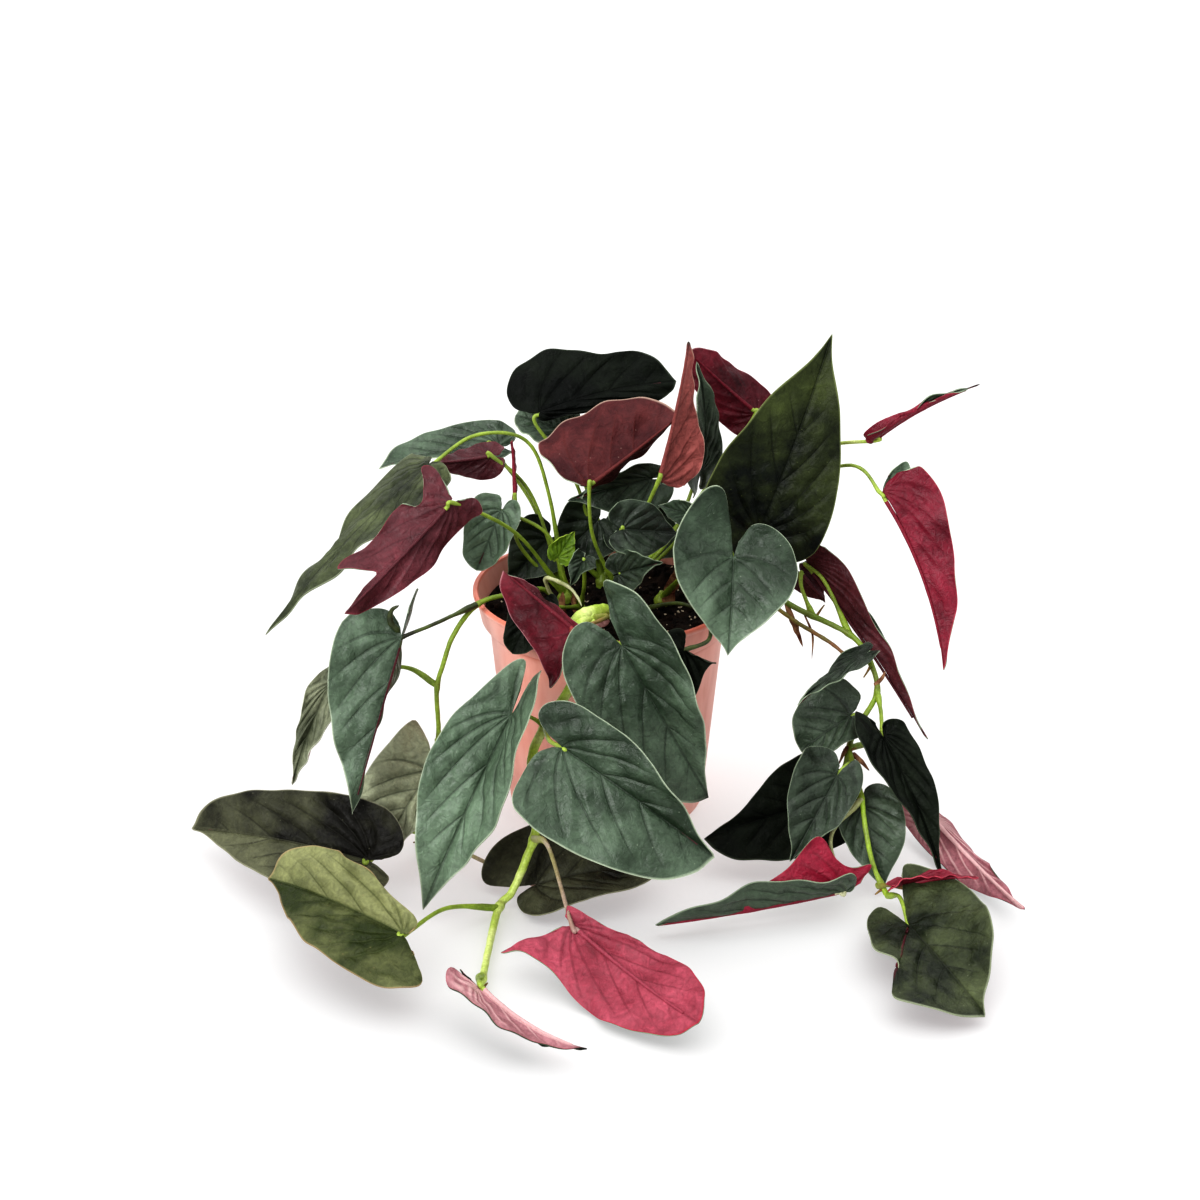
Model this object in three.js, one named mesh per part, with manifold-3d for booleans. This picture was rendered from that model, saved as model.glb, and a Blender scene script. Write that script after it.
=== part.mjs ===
// A potted red arrow syngonium: arrow-shaped leaves on upright and trailing shoots, in a filled nursery pot.
// Millimetres, +Z up. The origin is the middle of the pot's underside, and -Y is the front.

import * as THREE from 'three';
import { mergeVertices } from 'three/addons/utils/BufferGeometryUtils.js';
import Module from 'manifold-3d';

const wasm = await Module();
wasm.setup();

// The pot: a 12 cm nursery pot with a stepped rim band.
const RIM_RADIUS = 60;
const POT_HEIGHT = 105;
const BAND_HEIGHT = 15;
const BAND_STEP = 3.5;
const BAND_RAMP = 2;
const SHOULDER_RADIUS = 53;
const BASE_RADIUS = 45;
const WALL = 1.6;
const LIP = 2.6;
const FLOOR = 2;
const POT_SIDES = 36;
const DRAIN_HOLES = 8;
const DRAIN_CIRCLE = 33;
const DRAIN_RADIUS = 4.5;

// The soil: peat a little below the rim, banked up at the pot's wall and clear of it by SEAT.
const SEAT = 0.4;
const SOIL_TOP = 91;
const SOIL_LUMP = 0.78;
const BANK_TOP = 96.5;
const BANK_CREST = 50;
const BANK_FOOT = 36;
const HOLE_BOTTOM = 85.6;
const HOLE_SIDES = 10;

// Stems and stalks.
const STEM_SIDES = 6;
const STALK_SIDES = 4;
const STALK_RADIUS = 1.3;
const STUB_BOTTOM = 86;
const STUB_MIDDLE = 92;
const STUB_TOP = 98;
const STALK_START = 94.5;
const STALK_SINK = 1.2;
const STALK_LAP = 0.12;
const HOLE_PLAY = 0.35;

// Blades.
const BLADE = 0.65;
const BIG_WIDTH = 64;
const SMALL_WIDTH = 30;
const RING_SPREAD = 0.9;
const WAVE = 1.5;
const WAVES = 4;
const MITER_LIMIT = 2.5;
const LOBE = 0.21;

// Half outlines from the tip to the sinus behind the stalk: [along the midrib, across in half widths].
const OUTLINES = {
  heart: [[1, 0], [0.86, 0.16], [0.66, 0.52], [0.42, 0.84], [0.15, 1], [-0.07, 0.9], [-0.2, 0.58],
    [-0.21, 0.28], [-0.1, 0.07]],
  blunt: [[1, 0], [0.95, 0.3], [0.82, 0.62], [0.6, 0.84], [0.36, 0.97], [0.12, 1], [-0.07, 0.9],
    [-0.2, 0.58], [-0.21, 0.28], [-0.1, 0.07]],
  tailed: [[1, 0], [0.86, 0.1], [0.68, 0.28], [0.48, 0.6], [0.28, 0.9], [0.08, 1], [-0.1, 0.88],
    [-0.2, 0.56], [-0.21, 0.28], [-0.1, 0.07]],
  bumped: [[1, 0], [0.95, 0.22], [0.8, 0.56], [0.64, 0.62], [0.5, 0.64], [0.34, 0.84], [0.16, 1],
    [-0.06, 0.92], [-0.2, 0.58], [-0.2, 0.26], [-0.09, 0.06]],
  split: [[1, 0], [0.84, 0.1], [0.65, 0.16], [0.73, 0.5], [0.8, 0.82], [0.6, 0.74], [0.42, 0.76],
    [0.26, 0.84], [0.12, 0.5], [-0.06, 1], [-0.19, 0.86], [-0.14, 0.36], [-0.05, 0.06]],
  lance: [[1, 0], [0.9, 0.36], [0.66, 0.72], [0.4, 0.84], [0.16, 0.8], [0.02, 0.86], [-0.14, 1],
    [-0.19, 0.55], [-0.08, 0.1]],
  oblong: [[1, 0], [0.96, 0.42], [0.85, 0.82], [0.6, 1], [0.38, 0.85], [0.18, 0.6], [0.02, 0.46],
    [-0.1, 0.3], [-0.07, 0.06]],
  notched: [[1, 0], [0.94, 0.43], [0.81, 0.8], [0.7, 1], [0.54, 0.82], [0.4, 0.62], [0.26, 0.77],
    [0.06, 0.66], [-0.07, 0.5], [-0.15, 0.3], [-0.17, 0.12], [-0.09, 0.04]],
  pointed: [[1, 0], [0.93, 0.4], [0.78, 0.72], [0.58, 0.95], [0.36, 1], [0.14, 0.93], [-0.08, 1],
    [-0.21, 1.26], [-0.12, 0.66], [-0.04, 0.12]],
  peaked: [[1, 0], [0.75, 0.16], [0.53, 0.44], [0.29, 0.76], [0.09, 1], [0, 0.74], [-0.08, 0.44],
    [-0.21, 0.4], [-0.12, 0.1]],
  eared: [[1, 0], [0.86, 0.16], [0.66, 0.52], [0.42, 0.84], [0.15, 1], [-0.07, 1], [-0.17, 0.82],
    [-0.21, 0.58], [-0.13, 0.3], [-0.05, 0.1]],
  arrow: [[1, 0], [0.9, 0.26], [0.66, 0.5], [0.4, 0.62], [0.16, 0.72], [0.02, 0.86], [-0.14, 1],
    [-0.19, 0.55], [-0.08, 0.1]],
  waisted: [[1, 0], [0.9, 0.2], [0.72, 0.36], [0.54, 0.46], [0.42, 0.64], [0.3, 0.92], [0.16, 1],
    [0.02, 0.72], [-0.14, 0.4], [-0.08, 0.08]],
  sail: [[1, 0], [0.85, 0.24], [0.63, 0.6], [0.36, 1], [0.19, 0.96], [0.05, 0.97], [-0.12, 1],
    [-0.14, 0.6], [-0.1, 0.3], [-0.04, 0.08]],
  horned: [[1, 0], [0.92, 0.42], [0.75, 0.8], [0.55, 0.96], [0.3, 1], [0.05, 0.95], [-0.13, 0.92],
    [-0.21, 0.82], [-0.16, 0.45], [-0.06, 0.08]],
  drooped: [[1, 0], [0.88, 0.22], [0.7, 0.6], [0.5, 0.9], [0.32, 1], [0.12, 0.9], [-0.05, 0.66],
    [-0.18, 0.42], [-0.21, 0.2], [-0.1, 0.05]],
};

// A leaf: its stalk's route, the junction of stalk and blade, the tip, the way its upper side looks, and its
// widths left and right of the midrib seen from above with the tip ahead. fold and ease are the rise of each
// half in degrees at the junction and at the tip, curl the extra rise from midrib to margin, lobe the reach
// of each rear lobe as a share of the length, arch the height of the midrib's arc as a share of the length,
// back the turn of the lobes and twist the turn of the tip, in degrees.
const leaf = (stalk, junction, tip, upper, width, more = {}) => (
  { stalk, junction, tip, upper, width, ...more }
);

// Where each shoot stands in the soil.
const BACK = [-2, 32, STALK_START];
const LEFT = [-19, 14, STALK_START];
const CENTRE = [6, 14, STALK_START];
const RIGHT = [25, 10, STALK_START];
const SMALL = [8, -8, STALK_START];
const YOUNG = [-12, 0, STALK_START];

const stub = ([x, y], radius) => ({ radius, route: [STUB_BOTTOM, STUB_MIDDLE, STUB_TOP].map((z) => [x, y, z]) });

const SHOOTS = {
  shoot_back: {
    colour: 0x2c3a33,
    stem: stub(BACK, 3.5),
    leaves: [
      // The near-black leaf at the top.
      leaf([BACK, [-14, 38, 140], [-32, 38, 168]], [-30, 38, 174], [32, 53, 184], [0, -5, 8], [58, 20],
        { shape: ['bumped', 'oblong'], lobe: [0.17, 0.05], fold: [12, -20] }),
      leaf([BACK, [-8, 44, 130]], [-19, 50, 160], [-42, 54, 167], [0, -5, 8], [30, 30],
        { shape: ['blunt', 'blunt'] }),
      // Small leaves low at the back.
      leaf([BACK, [-6, 36, 110]], [-4, 36, 122], [-24, 30, 103], [0, -8, 4], [32, 32]),
      leaf([BACK, [8, 36, 112]], [10, 38, 124], [35, 34, 104], [0, -8, 4], [34, 34]),
    ],
  },
  shoot_left_high: {
    colour: 0x40564a,
    stem: stub(LEFT, 4),
    leaves: [
      leaf([LEFT, [-34, 36, 130], [-54, 50, 154]], [-50, 52, 152], [-107, 60, 139], [0, -4, 8], [16, 28],
        { shape: ['heart', 'blunt'], lobe: [0.12, 0.12] }),
      // The big leaf hanging at the left.
      leaf([LEFT, [-26, 22, 140], [-36, 22, 166], [-58, 12, 172]], [-78, 0, 163], [-148, -35, 97],
        [-7, -3, 6], [44, 56], { lobe: [0.04, 0.04], fold: [0, -8], arch: 0.03 }),
      leaf([LEFT, [-34, 22, 140]], [-52, 26, 157], [-79, 20, 156], [0, 6, -5], [19, 19], { fold: [25, 25] }),
      // The maroon leaf with three points.
      leaf([LEFT, [-38, -4, 130], [-56, -23, 150]], [-66, -32, 157], [-109, -66, 121], [2, 9, -3], [40, 28],
        { shape: ['split', 'lance'], fold: [10, 35], lobe: [0.1, 0.13] }),
      leaf([LEFT, [-26, 10, 125]], [-47, 8, 138], [-58, -4, 114], [0, -8, 5], [20, 27],
        { shape: ['blunt', 'blunt'] }),
      leaf([LEFT, [-40, 14, 120]], [-41, 14, 142], [-42, 18, 168], [0, 9, 2], [15, 15], { fold: [74, 74] }),
    ],
  },
  shoot_centre_tall: {
    colour: 0x7c4049,
    stem: stub(CENTRE, 4),
    leaves: [
      // The rosy leaf in the middle, one half curled over.
      leaf([CENTRE, [-6, 8, 125]], [-8, 4, 151], [33, 28, 176], [0, 8, -4], [24, 66],
        { shape: ['heart', 'blunt'], lobe: [0.05, 0.14], fold: [88, 0], ease: [50, 10], curl: [10, 35] }),
      // The upright leaf, folded along its midrib.
      leaf([CENTRE, [12, 6, 125]], [23, -2, 156], [35, 2, 218], [3, 8, -2], [40, 40],
        { shape: ['waisted', 'waisted'], fold: [46, 75], ease: [84, 84], lobe: [0.04, 0.04] }),
      leaf([CENTRE, [30, 24, 120]], [43, 30, 149], [40, 34, 199], [8, -6, 2], [30, 20]),
      leaf([CENTRE, [40, 36, 130], [60, 44, 158]], [68, 46, 171], [37, 50, 199], [0, 8, -5], [27, 27],
        { shape: ['blunt', 'blunt'], fold: [20, 20] }),
      leaf([CENTRE, [14, 30, 130]], [20, 32, 144], [-18, 28, 135], [0, -8, 4], [30, 14]),
      leaf([CENTRE, [30, 12, 120]], [37, 8, 136], [23, 12, 139], [0, -8, 4], [12, 12]),
    ],
  },
  shoot_right_high: {
    colour: 0x45594c,
    stem: stub(RIGHT, 4),
    leaves: [
      // The big upright leaf.
      leaf([RIGHT, [44, 6, 115]], [68, 0, 132], [98, 20, 216], [1, -9, 3], [62, 54],
        { lobe: [0.2, 0.12], fold: [10, 10] }),
      // The bright heart-shaped leaf with two tall lobes.
      leaf([RIGHT, [38, -12, 120], [50, -26, 136]], [54, -34, 133], [51, -60, 99], [1, -6, 7], [56, 56],
        { lobe: [0.36, 0.72], back: -15 }),
      // The young leaf, still rolled up.
      leaf([RIGHT, [66, 28, 136], [92, 26, 160]], [118, 16, 169], [161, 4, 198], [0, -4, 8], [11, 11],
        { fold: [70, 70], curl: [90, 90], lobe: [0.03, 0.03] }),
      leaf([RIGHT, [64, 24, 134], [106, 12, 158]], [121, -2, 151], [148, -35, 80], [9, 1, 3], [30, 40],
        { shape: ['sail', 'heart'], fold: [84, 72], lobe: [0.1, 0.03] }),
    ],
  },
  shoot_small_right: {
    colour: 0x34463c,
    stem: stub(SMALL, 3.5),
    leaves: [
      leaf([SMALL, [30, -26, 108], [42, -44, 110], [43, -57, 105]], [32, -66, 104], [20, -68, 75], [0, -8, 4],
        [30, 24], { shape: ['lance', 'heart'], lobe: [0.02, 0.25] }),
      leaf([SMALL, [6, -8, 118]], [7, -14, 138], [32, -2, 131], [0, -8, 5], [27, 27]),
      leaf([SMALL, [6, -14, 108]], [5, -24, 121], [24, -32, 130], [0, -8, 5], [20, 20]),
    ],
  },
  shoot_young: {
    colour: 0x5c6b3c,
    stem: stub(YOUNG, 2.5),
    leaves: [
      leaf([YOUNG, [-18, -8, 110]], [-21, -14, 125], [-14, -11, 136], [0, -8, 4], [12, 12]),
      leaf([YOUNG, [-10, -12, 110]], [-10, -20, 126], [-16, -28, 117], [0, -8, 4], [12, 12]),
      leaf([YOUNG, [-20, -30, 108]], [-29, -46, 117], [-40, -56, 98], [0, -7, 6], [20, 20],
        { shape: ['blunt', 'blunt'], arch: 0.1 }),
    ],
  },
  shoot_left_trailing: {
    colour: 0x3f5648,
    stem: {
      radius: 2.2,
      route: [[-22, 2, STUB_BOTTOM], [-22, 2, 92], [-23.5, 0.5, 98], [-29, -5, 105.5], [-42, -18, 109],
        [-56, -29, 109], [-66, -38, 99], [-71, -42, 86], [-74, -44, 74], [-74, -46, 49], [-80, -47, 12],
        [-84, -48, 4]],
    },
    leaves: [
      // The big hanging leaf by the rim, its far half folded down.
      leaf([[-57, -30, 109], [-74, -48, 108]], [-87, -55, 105], [-108, -85, 36], [0, -9, 3], [30, 54],
        { fold: [-88, 0], lobe: [0.3, 0.12] }),
      leaf([[-73, -43, 76], [-90, -40, 84]], [-121, -40, 75], [-138, -54, 33], [-4, -8, 2], [26, 14],
        { fold: [25, 25] }),
      leaf([[-74, -46, 52], [-74, -50, 46]], [-77, -56, 41], [-96, -78, 16], [-2, -7, 5], [26, 46],
        { shape: ['blunt', 'horned'], lobe: [0.15, 0.44] }),
      // The dark leaf that lies out to the left.
      leaf([[-81, -48, 6], [-90, -62, 14]], [-101, -95, 20], [-184, -55, 12], [0, -6, 8], [48, 48],
        { shape: ['heart', 'blunt'], lobe: [0.13, 0.13] }),
      // The dark leaf that lies in front of the pot.
      leaf([[-81, -48, 6], [-58, -74, 9]], [-30, -95, 8], [24, -91, 15], [0, -4, 9], [56, 36],
        { shape: ['blunt', 'blunt'], lobe: [0.4, 0.16] }),
    ],
  },
  shoot_front_trailing: {
    colour: 0x466050,
    stem: {
      radius: 2.6,
      route: [[8, -22, STUB_BOTTOM], [8, -22, 92], [7, -24, 98], [0, -38, 108.5], [-12, -58, 112],
        [-13, -66, 98], [-16, -68, 87], [-26, -72, 72], [-32, -78, 58], [-30, -90, 34], [-34, -97, 22],
        [-40, -102, 9], [-46, -110, 4], [-50, -164, 4]],
    },
    leaves: [
      leaf([[-45, -107, 4], [-66, -126, 16]], [-81, -155, 23], [-142, -105, 17], [1, -6, 8], [52, 40],
        { shape: ['eared', 'oblong'], lobe: [0.26, 0.1] }),
      // The three big green leaves that hang over the front of the pot.
      leaf([[-26, -72, 72], [-34, -78, 80]], [-40, -80, 81], [-77, -112, 6], [-1, -8, 4], [48, 48],
        { shape: ['heart', 'drooped'], lobe: [0.21, 0.26], fold: [70, 10], ease: [5, 10] }),
      leaf([[-12, -66, 98], [-2, -74, 112]], [6, -78, 112], [43, -82, 43], [1, -9, 1], [46, 56],
        { shape: ['heart', 'blunt'], lobe: [0.32, 0.2], fold: [30, 8] }),
      leaf([[-26, -72, 72], [-24, -96, 78]], [-18, -114, 84], [43, -134, 45], [1, -8, 5], [42, 66],
        { shape: ['heart', 'blunt'], lobe: [0.19, 0.1], fold: [35, 5] }),
      // The red leaf that lies upside down in front.
      leaf([[-31, -94, 30], [-24, -112, 36]], [-14, -147, 21], [34, -199, 12], [0, 6, -8], [42, 33],
        { shape: ['pointed', 'oblong'], fold: [4, 4] }),
      leaf([[-50, -158, 5], [-51, -166, 10]], [-50, -180, 15], [-8, -213, 10], [0, -7, -5], [24, 9],
        { fold: [40, 40] }),
      // The maroon leaf over the rim.
      leaf([[-6, -50, 112], [0, -58, 116]], [-13, -70, 115], [-44, -46, 132], [0, 9, -3], [10, 52],
        { shape: ['heart', 'arrow'], lobe: [0.1, 0.15], fold: [60, 8], arch: 0.02 }),
    ],
  },
  shoot_right_trailing: {
    colour: 0x33453b,
    stem: {
      radius: 2.2,
      route: [[38, 16, STUB_BOTTOM], [38, 16, 92], [39, 15.5, 98], [46, 12, 106], [64, 4, 109], [82, -5, 98],
        [108, -15, 88], [116, -25, 80], [119, -34, 69], [111, -42, 57], [106, -50, 50], [108, -63, 43],
        [109, -75, 38], [110, -85, 29], [113, -93, 16], [119, -100, 4.5]],
    },
    leaves: [
      // The narrow maroon leaf that hangs from the bend.
      leaf([[108, -14, 88], [98, 2, 106]], [91, 10, 112], [142, -36, 46], [8, -1, 5], [18, 26],
        { fold: [80, 66], arch: 0.02, lobe: [0.24, 0.06] }),
      leaf([[92, -8, 94], [88, 4, 102]], [88, 10, 107], [99, 4, 95], [0, 8, -2], [15, 15]),
      // The small grey-green leaf and the strip above it.
      leaf([[111, -42, 57], [109, -43, 62]], [106, -46, 63], [84, -58, 52], [0, -6, 8], [22, 40],
        { shape: ['blunt', 'blunt'], lobe: [0.1, 0.4] }),
      leaf([[116, -25, 80]], [112, -33, 86], [81, -62, 77], [-2, -6, 6], [10, 10], { twist: 30 }),
      // The dark cluster round the stem.
      leaf([[106, -50, 50], [104, -50, 40]], [96, -50, 24], [42, -74, 18], [0, -8, 6], [46, 44],
        { shape: ['blunt', 'tailed'] }),
      leaf([[107, -58, 46], [103, -68, 51]], [98, -74, 49], [77, -98, 21], [0, -8, 5], [24, 38]),
      leaf([[108, -66, 42], [108, -66, 38]], [110, -71, 32], [118, -92, 2], [1, -8, 5], [34, 28]),
      leaf([[119, -34, 69], [120, -42, 63]], [120, -54, 57], [144, -84, 6], [4, -8, 3], [24, 34],
        { shape: ['heart', 'tailed'], fold: [28, 28], lobe: [0.08, 0.22] }),
      // The long leaf that lies like a canoe, green outside and red inside.
      leaf([[109, -75, 38], [95, -88, 27]], [100, -102, 8], [20, -122, 5], [0, -1, -9], [50, 34],
        { shape: ['peaked', 'heart'], fold: [-75, -60], lobe: [0.17, 0.05], arch: -0.03 }),
      leaf([[115, -96, 8], [119, -102, 12]], [124, -106, 15], [154, -112, 22], [0, 2, 8], [10, 10]),
      leaf([[106, -50, 50], [120, -42, 44]], [144, -48, 14], [172, -123, 13], [2, 6, -7], [24, 12],
        { fold: [20, 20] }),
      // The bright leaf that lies on the right, with a bite out of its side.
      leaf([[119, -99, 5], [122, -112, 12]], [123, -131, 11], [145, -185, 5], [1, -5, 8], [60, 63],
        { shape: ['eared', 'notched'], lobe: [0.55, 0.36], arch: 0.03 }),
    ],
  },
};

const radians = THREE.MathUtils.degToRad;
const vector = (point) => new THREE.Vector3(...point);

// Solid from a closed geometry: only its places are kept, shared corners are merged and slivers dropped.
function solidFrom(geometry) {
  const bare = geometry.clone();
  bare.deleteAttribute('normal');
  bare.deleteAttribute('uv');
  const merged = mergeVertices(bare, 1e-4);
  const index = merged.index.array;
  const triangles = [];
  for (let i = 0; i < index.length; i += 3) {
    const [a, b, c] = [index[i], index[i + 1], index[i + 2]];
    if (a !== b && b !== c && c !== a) triangles.push(a, b, c);
  }
  return new wasm.Manifold(new wasm.Mesh({
    numProp: 3,
    vertProperties: new Float32Array(merged.attributes.position.array),
    triVerts: new Uint32Array(triangles),
  }));
}

// Geometry from places and triangles.
function geometryFrom(places, triangles) {
  const geometry = new THREE.BufferGeometry();
  geometry.setAttribute('position', new THREE.Float32BufferAttribute(places, 3));
  geometry.setIndex(triangles);
  geometry.computeVertexNormals();
  return geometry;
}

function meshFrom(name, solid, material) {
  const { vertProperties, triVerts } = solid.getMesh();
  const mesh = new THREE.Mesh(geometryFrom(Array.from(vertProperties), Array.from(triVerts)), material);
  mesh.name = name;
  return mesh;
}

// Upright round post at x, y.
function post(x, y, bottom, top, radius, sides) {
  const geometry = new THREE.CylinderGeometry(radius, radius, top - bottom, sides);
  geometry.rotateX(Math.PI / 2);
  geometry.translate(x, y, (bottom + top) / 2);
  return solidFrom(geometry);
}

// Tube of even thickness along a smooth curve through the given points.
function tube(points, radius, sides, steps) {
  const path = new THREE.CatmullRomCurve3(points, false, 'catmullrom', 0.5);
  const corners = Array.from({ length: sides }, (_, i) => {
    const angle = (2 * Math.PI * i) / sides;
    return new THREE.Vector2(radius * Math.cos(angle), radius * Math.sin(angle));
  });
  const options = { steps, bevelEnabled: false, extrudePath: path };
  return solidFrom(new THREE.ExtrudeGeometry(new THREE.Shape(corners), options));
}

// The blade's upper side as a function of a, along the midrib, b, across in half widths, u, round the rim
// from 0 to 1, and rho, out from the junction. Each half is a strip that rises by its fold and curl from a
// midrib that is a circular arc, and its rim waves.
function bladeSurface(one) {
  const junction = vector(one.junction);
  const ahead = vector(one.tip).sub(junction);
  const length = ahead.length();
  ahead.normalize();
  const up = vector(one.upper);
  up.addScaledVector(ahead, -up.dot(ahead)).normalize();
  const left = new THREE.Vector3().crossVectors(up, ahead);
  const { lobe = [LOBE, LOBE], fold = [15, 15], arch = 0.06, back = 0, twist = 0, curl = [0, 0] } = one;
  const ease = one.ease ?? fold;
  const turn = 4 * Math.atan(2 * arch);
  const radius = length / (2 * Math.sin(turn / 2));

  const place = (a, b, u, rho) => {
    const half = b >= 0 ? 0 : 1;
    const along = a < 0 ? (a * lobe[half]) / LOBE : a;
    let angle = turn / 2 - turn * along;
    let forward = radius * (Math.sin(turn / 2) - Math.sin(angle));
    let rise = radius * (Math.cos(angle) - Math.cos(turn / 2));
    if (back !== 0 && along < 0) {
      const bend = radians(back) / (LOBE * length);
      angle = turn / 2 - bend * along * length;
      forward = -(Math.sin(angle) - Math.sin(turn / 2)) / bend;
      rise = -(Math.cos(turn / 2) - Math.cos(angle)) / bend;
    }
    const tilt = radians(fold[half] + (ease[half] - fold[half]) * THREE.MathUtils.clamp(along, 0, 1));
    const halfWidth = one.width[half] / 2;
    const across = Math.abs(b) * halfWidth;
    const bow = radians(curl[half]) / halfWidth + 1e-7;
    let side = (Math.sin(tilt + bow * across) - Math.sin(tilt)) / bow;
    const wave = WAVE * rho ** 2 * Math.sin(2 * Math.PI * WAVES * u) * Math.abs(b);
    const lift = (Math.cos(tilt) - Math.cos(tilt + bow * across)) / bow + wave;
    side *= b >= 0 ? 1 : -1;
    const roll = radians(twist) * THREE.MathUtils.clamp(along, -0.3, 1);
    const sideways = side * Math.cos(roll) - lift * Math.sin(roll);
    const upward = side * Math.sin(roll) + lift * Math.cos(roll);
    return junction.clone()
      .addScaledVector(ahead, forward - Math.sin(angle) * upward)
      .addScaledVector(left, sideways)
      .addScaledVector(up, rise + Math.cos(angle) * upward);
  };
  return { place, up };
}

// Blade solid: the upper side on a grid of rays and rings, and the same grid a blade's thickness below it,
// pushed further at the crease so that the thickness holds there.
function blade(one) {
  const { place } = bladeSurface(one);
  const [leftShape, rightShape] = one.shape ?? ['heart', 'heart'];
  const rim = [...OUTLINES[leftShape]].reverse()
    .concat(OUTLINES[rightShape].slice(1).map(([a, b]) => [a, -b]));
  const widest = Math.max(...one.width);
  const rings = widest >= BIG_WIDTH ? 3 : widest > SMALL_WIDTH ? 2 : 1;
  const rays = rim.length;
  const upper = [place(0, 0, 0, 0)];
  rim.forEach(([a, b], i) => {
    for (let ring = 1; ring <= rings; ring += 1) {
      const rho = (ring / rings) ** RING_SPREAD;
      upper.push(place(a * rho, b * rho, i / (rays - 1), rho));
    }
  });
  const at = (ray, ring) => (ring === 0 ? 0 : 1 + ray * rings + ring - 1);
  const faces = [];
  for (let ray = 0; ray < rays - 1; ray += 1) {
    faces.push([0, at(ray + 1, 1), at(ray, 1)]);
    for (let ring = 1; ring < rings; ring += 1) {
      faces.push([at(ray, ring), at(ray + 1, ring), at(ray, ring + 1)]);
      faces.push([at(ray, ring + 1), at(ray + 1, ring), at(ray + 1, ring + 1)]);
    }
  }
  const faceNormals = faces.map(([a, b, c]) => new THREE.Vector3()
    .crossVectors(upper[b].clone().sub(upper[a]), upper[c].clone().sub(upper[a])).normalize());
  const lower = upper.map((point, i) => {
    const near = faceNormals.filter((_, k) => faces[k].includes(i));
    const normal = near.reduce((sum, face) => sum.add(face), new THREE.Vector3()).normalize();
    const least = Math.min(...near.map((face) => face.dot(normal)));
    return point.clone().addScaledVector(normal, -BLADE * Math.min(MITER_LIMIT, 1 / Math.max(least, 0.1)));
  });
  const count = upper.length;
  const triangles = [];
  faces.forEach(([a, b, c]) => triangles.push(a, b, c, count + a, count + c, count + b));
  const border = [0];
  for (let ring = 1; ring <= rings; ring += 1) border.push(at(0, ring));
  for (let ray = 1; ray < rays; ray += 1) border.push(at(ray, rings));
  for (let ring = rings - 1; ring >= 1; ring -= 1) border.push(at(rays - 1, ring));
  border.forEach((a, i) => {
    const b = border[(i + 1) % border.length];
    triangles.push(a, b, count + b, a, count + b, count + a);
  });
  const places = [...upper, ...lower].flatMap((point) => point.toArray());
  return solidFrom(geometryFrom(places, triangles));
}

// Stalk: a thin tube along its route, on under the midrib, with its end sunk in the blade.
function stalk(one) {
  const { place, up } = bladeSurface(one);
  const root = place(0, 0, 0, 0).addScaledVector(up, -STALK_SINK);
  const end = place(STALK_LAP, 0, 0, 0).addScaledVector(up, -0.75 * STALK_SINK);
  const points = [...one.stalk.map(vector), root, end];
  return tube(points, STALK_RADIUS, STALK_SIDES, 2 * points.length - 3);
}

// A shoot: its stem with every stalk and blade joined to it in one body.
function shoot({ stem, leaves }) {
  const route = stem.route.map(vector);
  const steps = route.length > 3 ? 2 * (route.length - 1) : 2;
  return leaves.reduce(
    (body, one) => body.add(stalk(one)).add(blade(one)),
    tube(route, stem.radius, STEM_SIDES, steps),
  );
}

// Turned body from a profile of [radius, height] pairs, about the Z axis.
function turned(profile, sides) {
  const points = profile.map(([r, z]) => new THREE.Vector2(r, z));
  const geometry = new THREE.LatheGeometry(points, sides);
  geometry.rotateX(Math.PI / 2);
  return geometry;
}

const shoulder = POT_HEIGHT - BAND_HEIGHT;
// Inside of the pot, [radius, height] from the rim down to the floor.
const INSIDE = [
  [RIM_RADIUS - LIP, POT_HEIGHT],
  [SHOULDER_RADIUS + WALL, shoulder + 2 * BAND_RAMP],
  [SHOULDER_RADIUS - WALL, shoulder - BAND_RAMP],
  [BASE_RADIUS - WALL, FLOOR],
];

function pot() {
  const profile = [
    [0, 0],
    [BASE_RADIUS, 0],
    [SHOULDER_RADIUS, shoulder],
    [SHOULDER_RADIUS + BAND_STEP, shoulder + BAND_RAMP],
    [RIM_RADIUS, POT_HEIGHT],
    ...INSIDE,
    [0, FLOOR],
  ];
  let body = solidFrom(turned(profile, POT_SIDES));
  for (let i = 0; i < DRAIN_HOLES; i += 1) {
    const angle = (2 * Math.PI * i) / DRAIN_HOLES;
    const [x, y] = [DRAIN_CIRCLE * Math.cos(angle), DRAIN_CIRCLE * Math.sin(angle)];
    body = body.subtract(post(x, y, -1, FLOOR + 1, DRAIN_RADIUS, HOLE_SIDES));
  }
  return body;
}

// Lumps of the soil's top as a sum of waves.
function lump(x, y) {
  const waves = Math.sin(0.19 * x + 0.4) * Math.cos(0.16 * y - 0.8) + 0.6 * Math.sin(0.31 * x - 0.27 * y);
  return SOIL_LUMP * waves;
}

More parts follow.
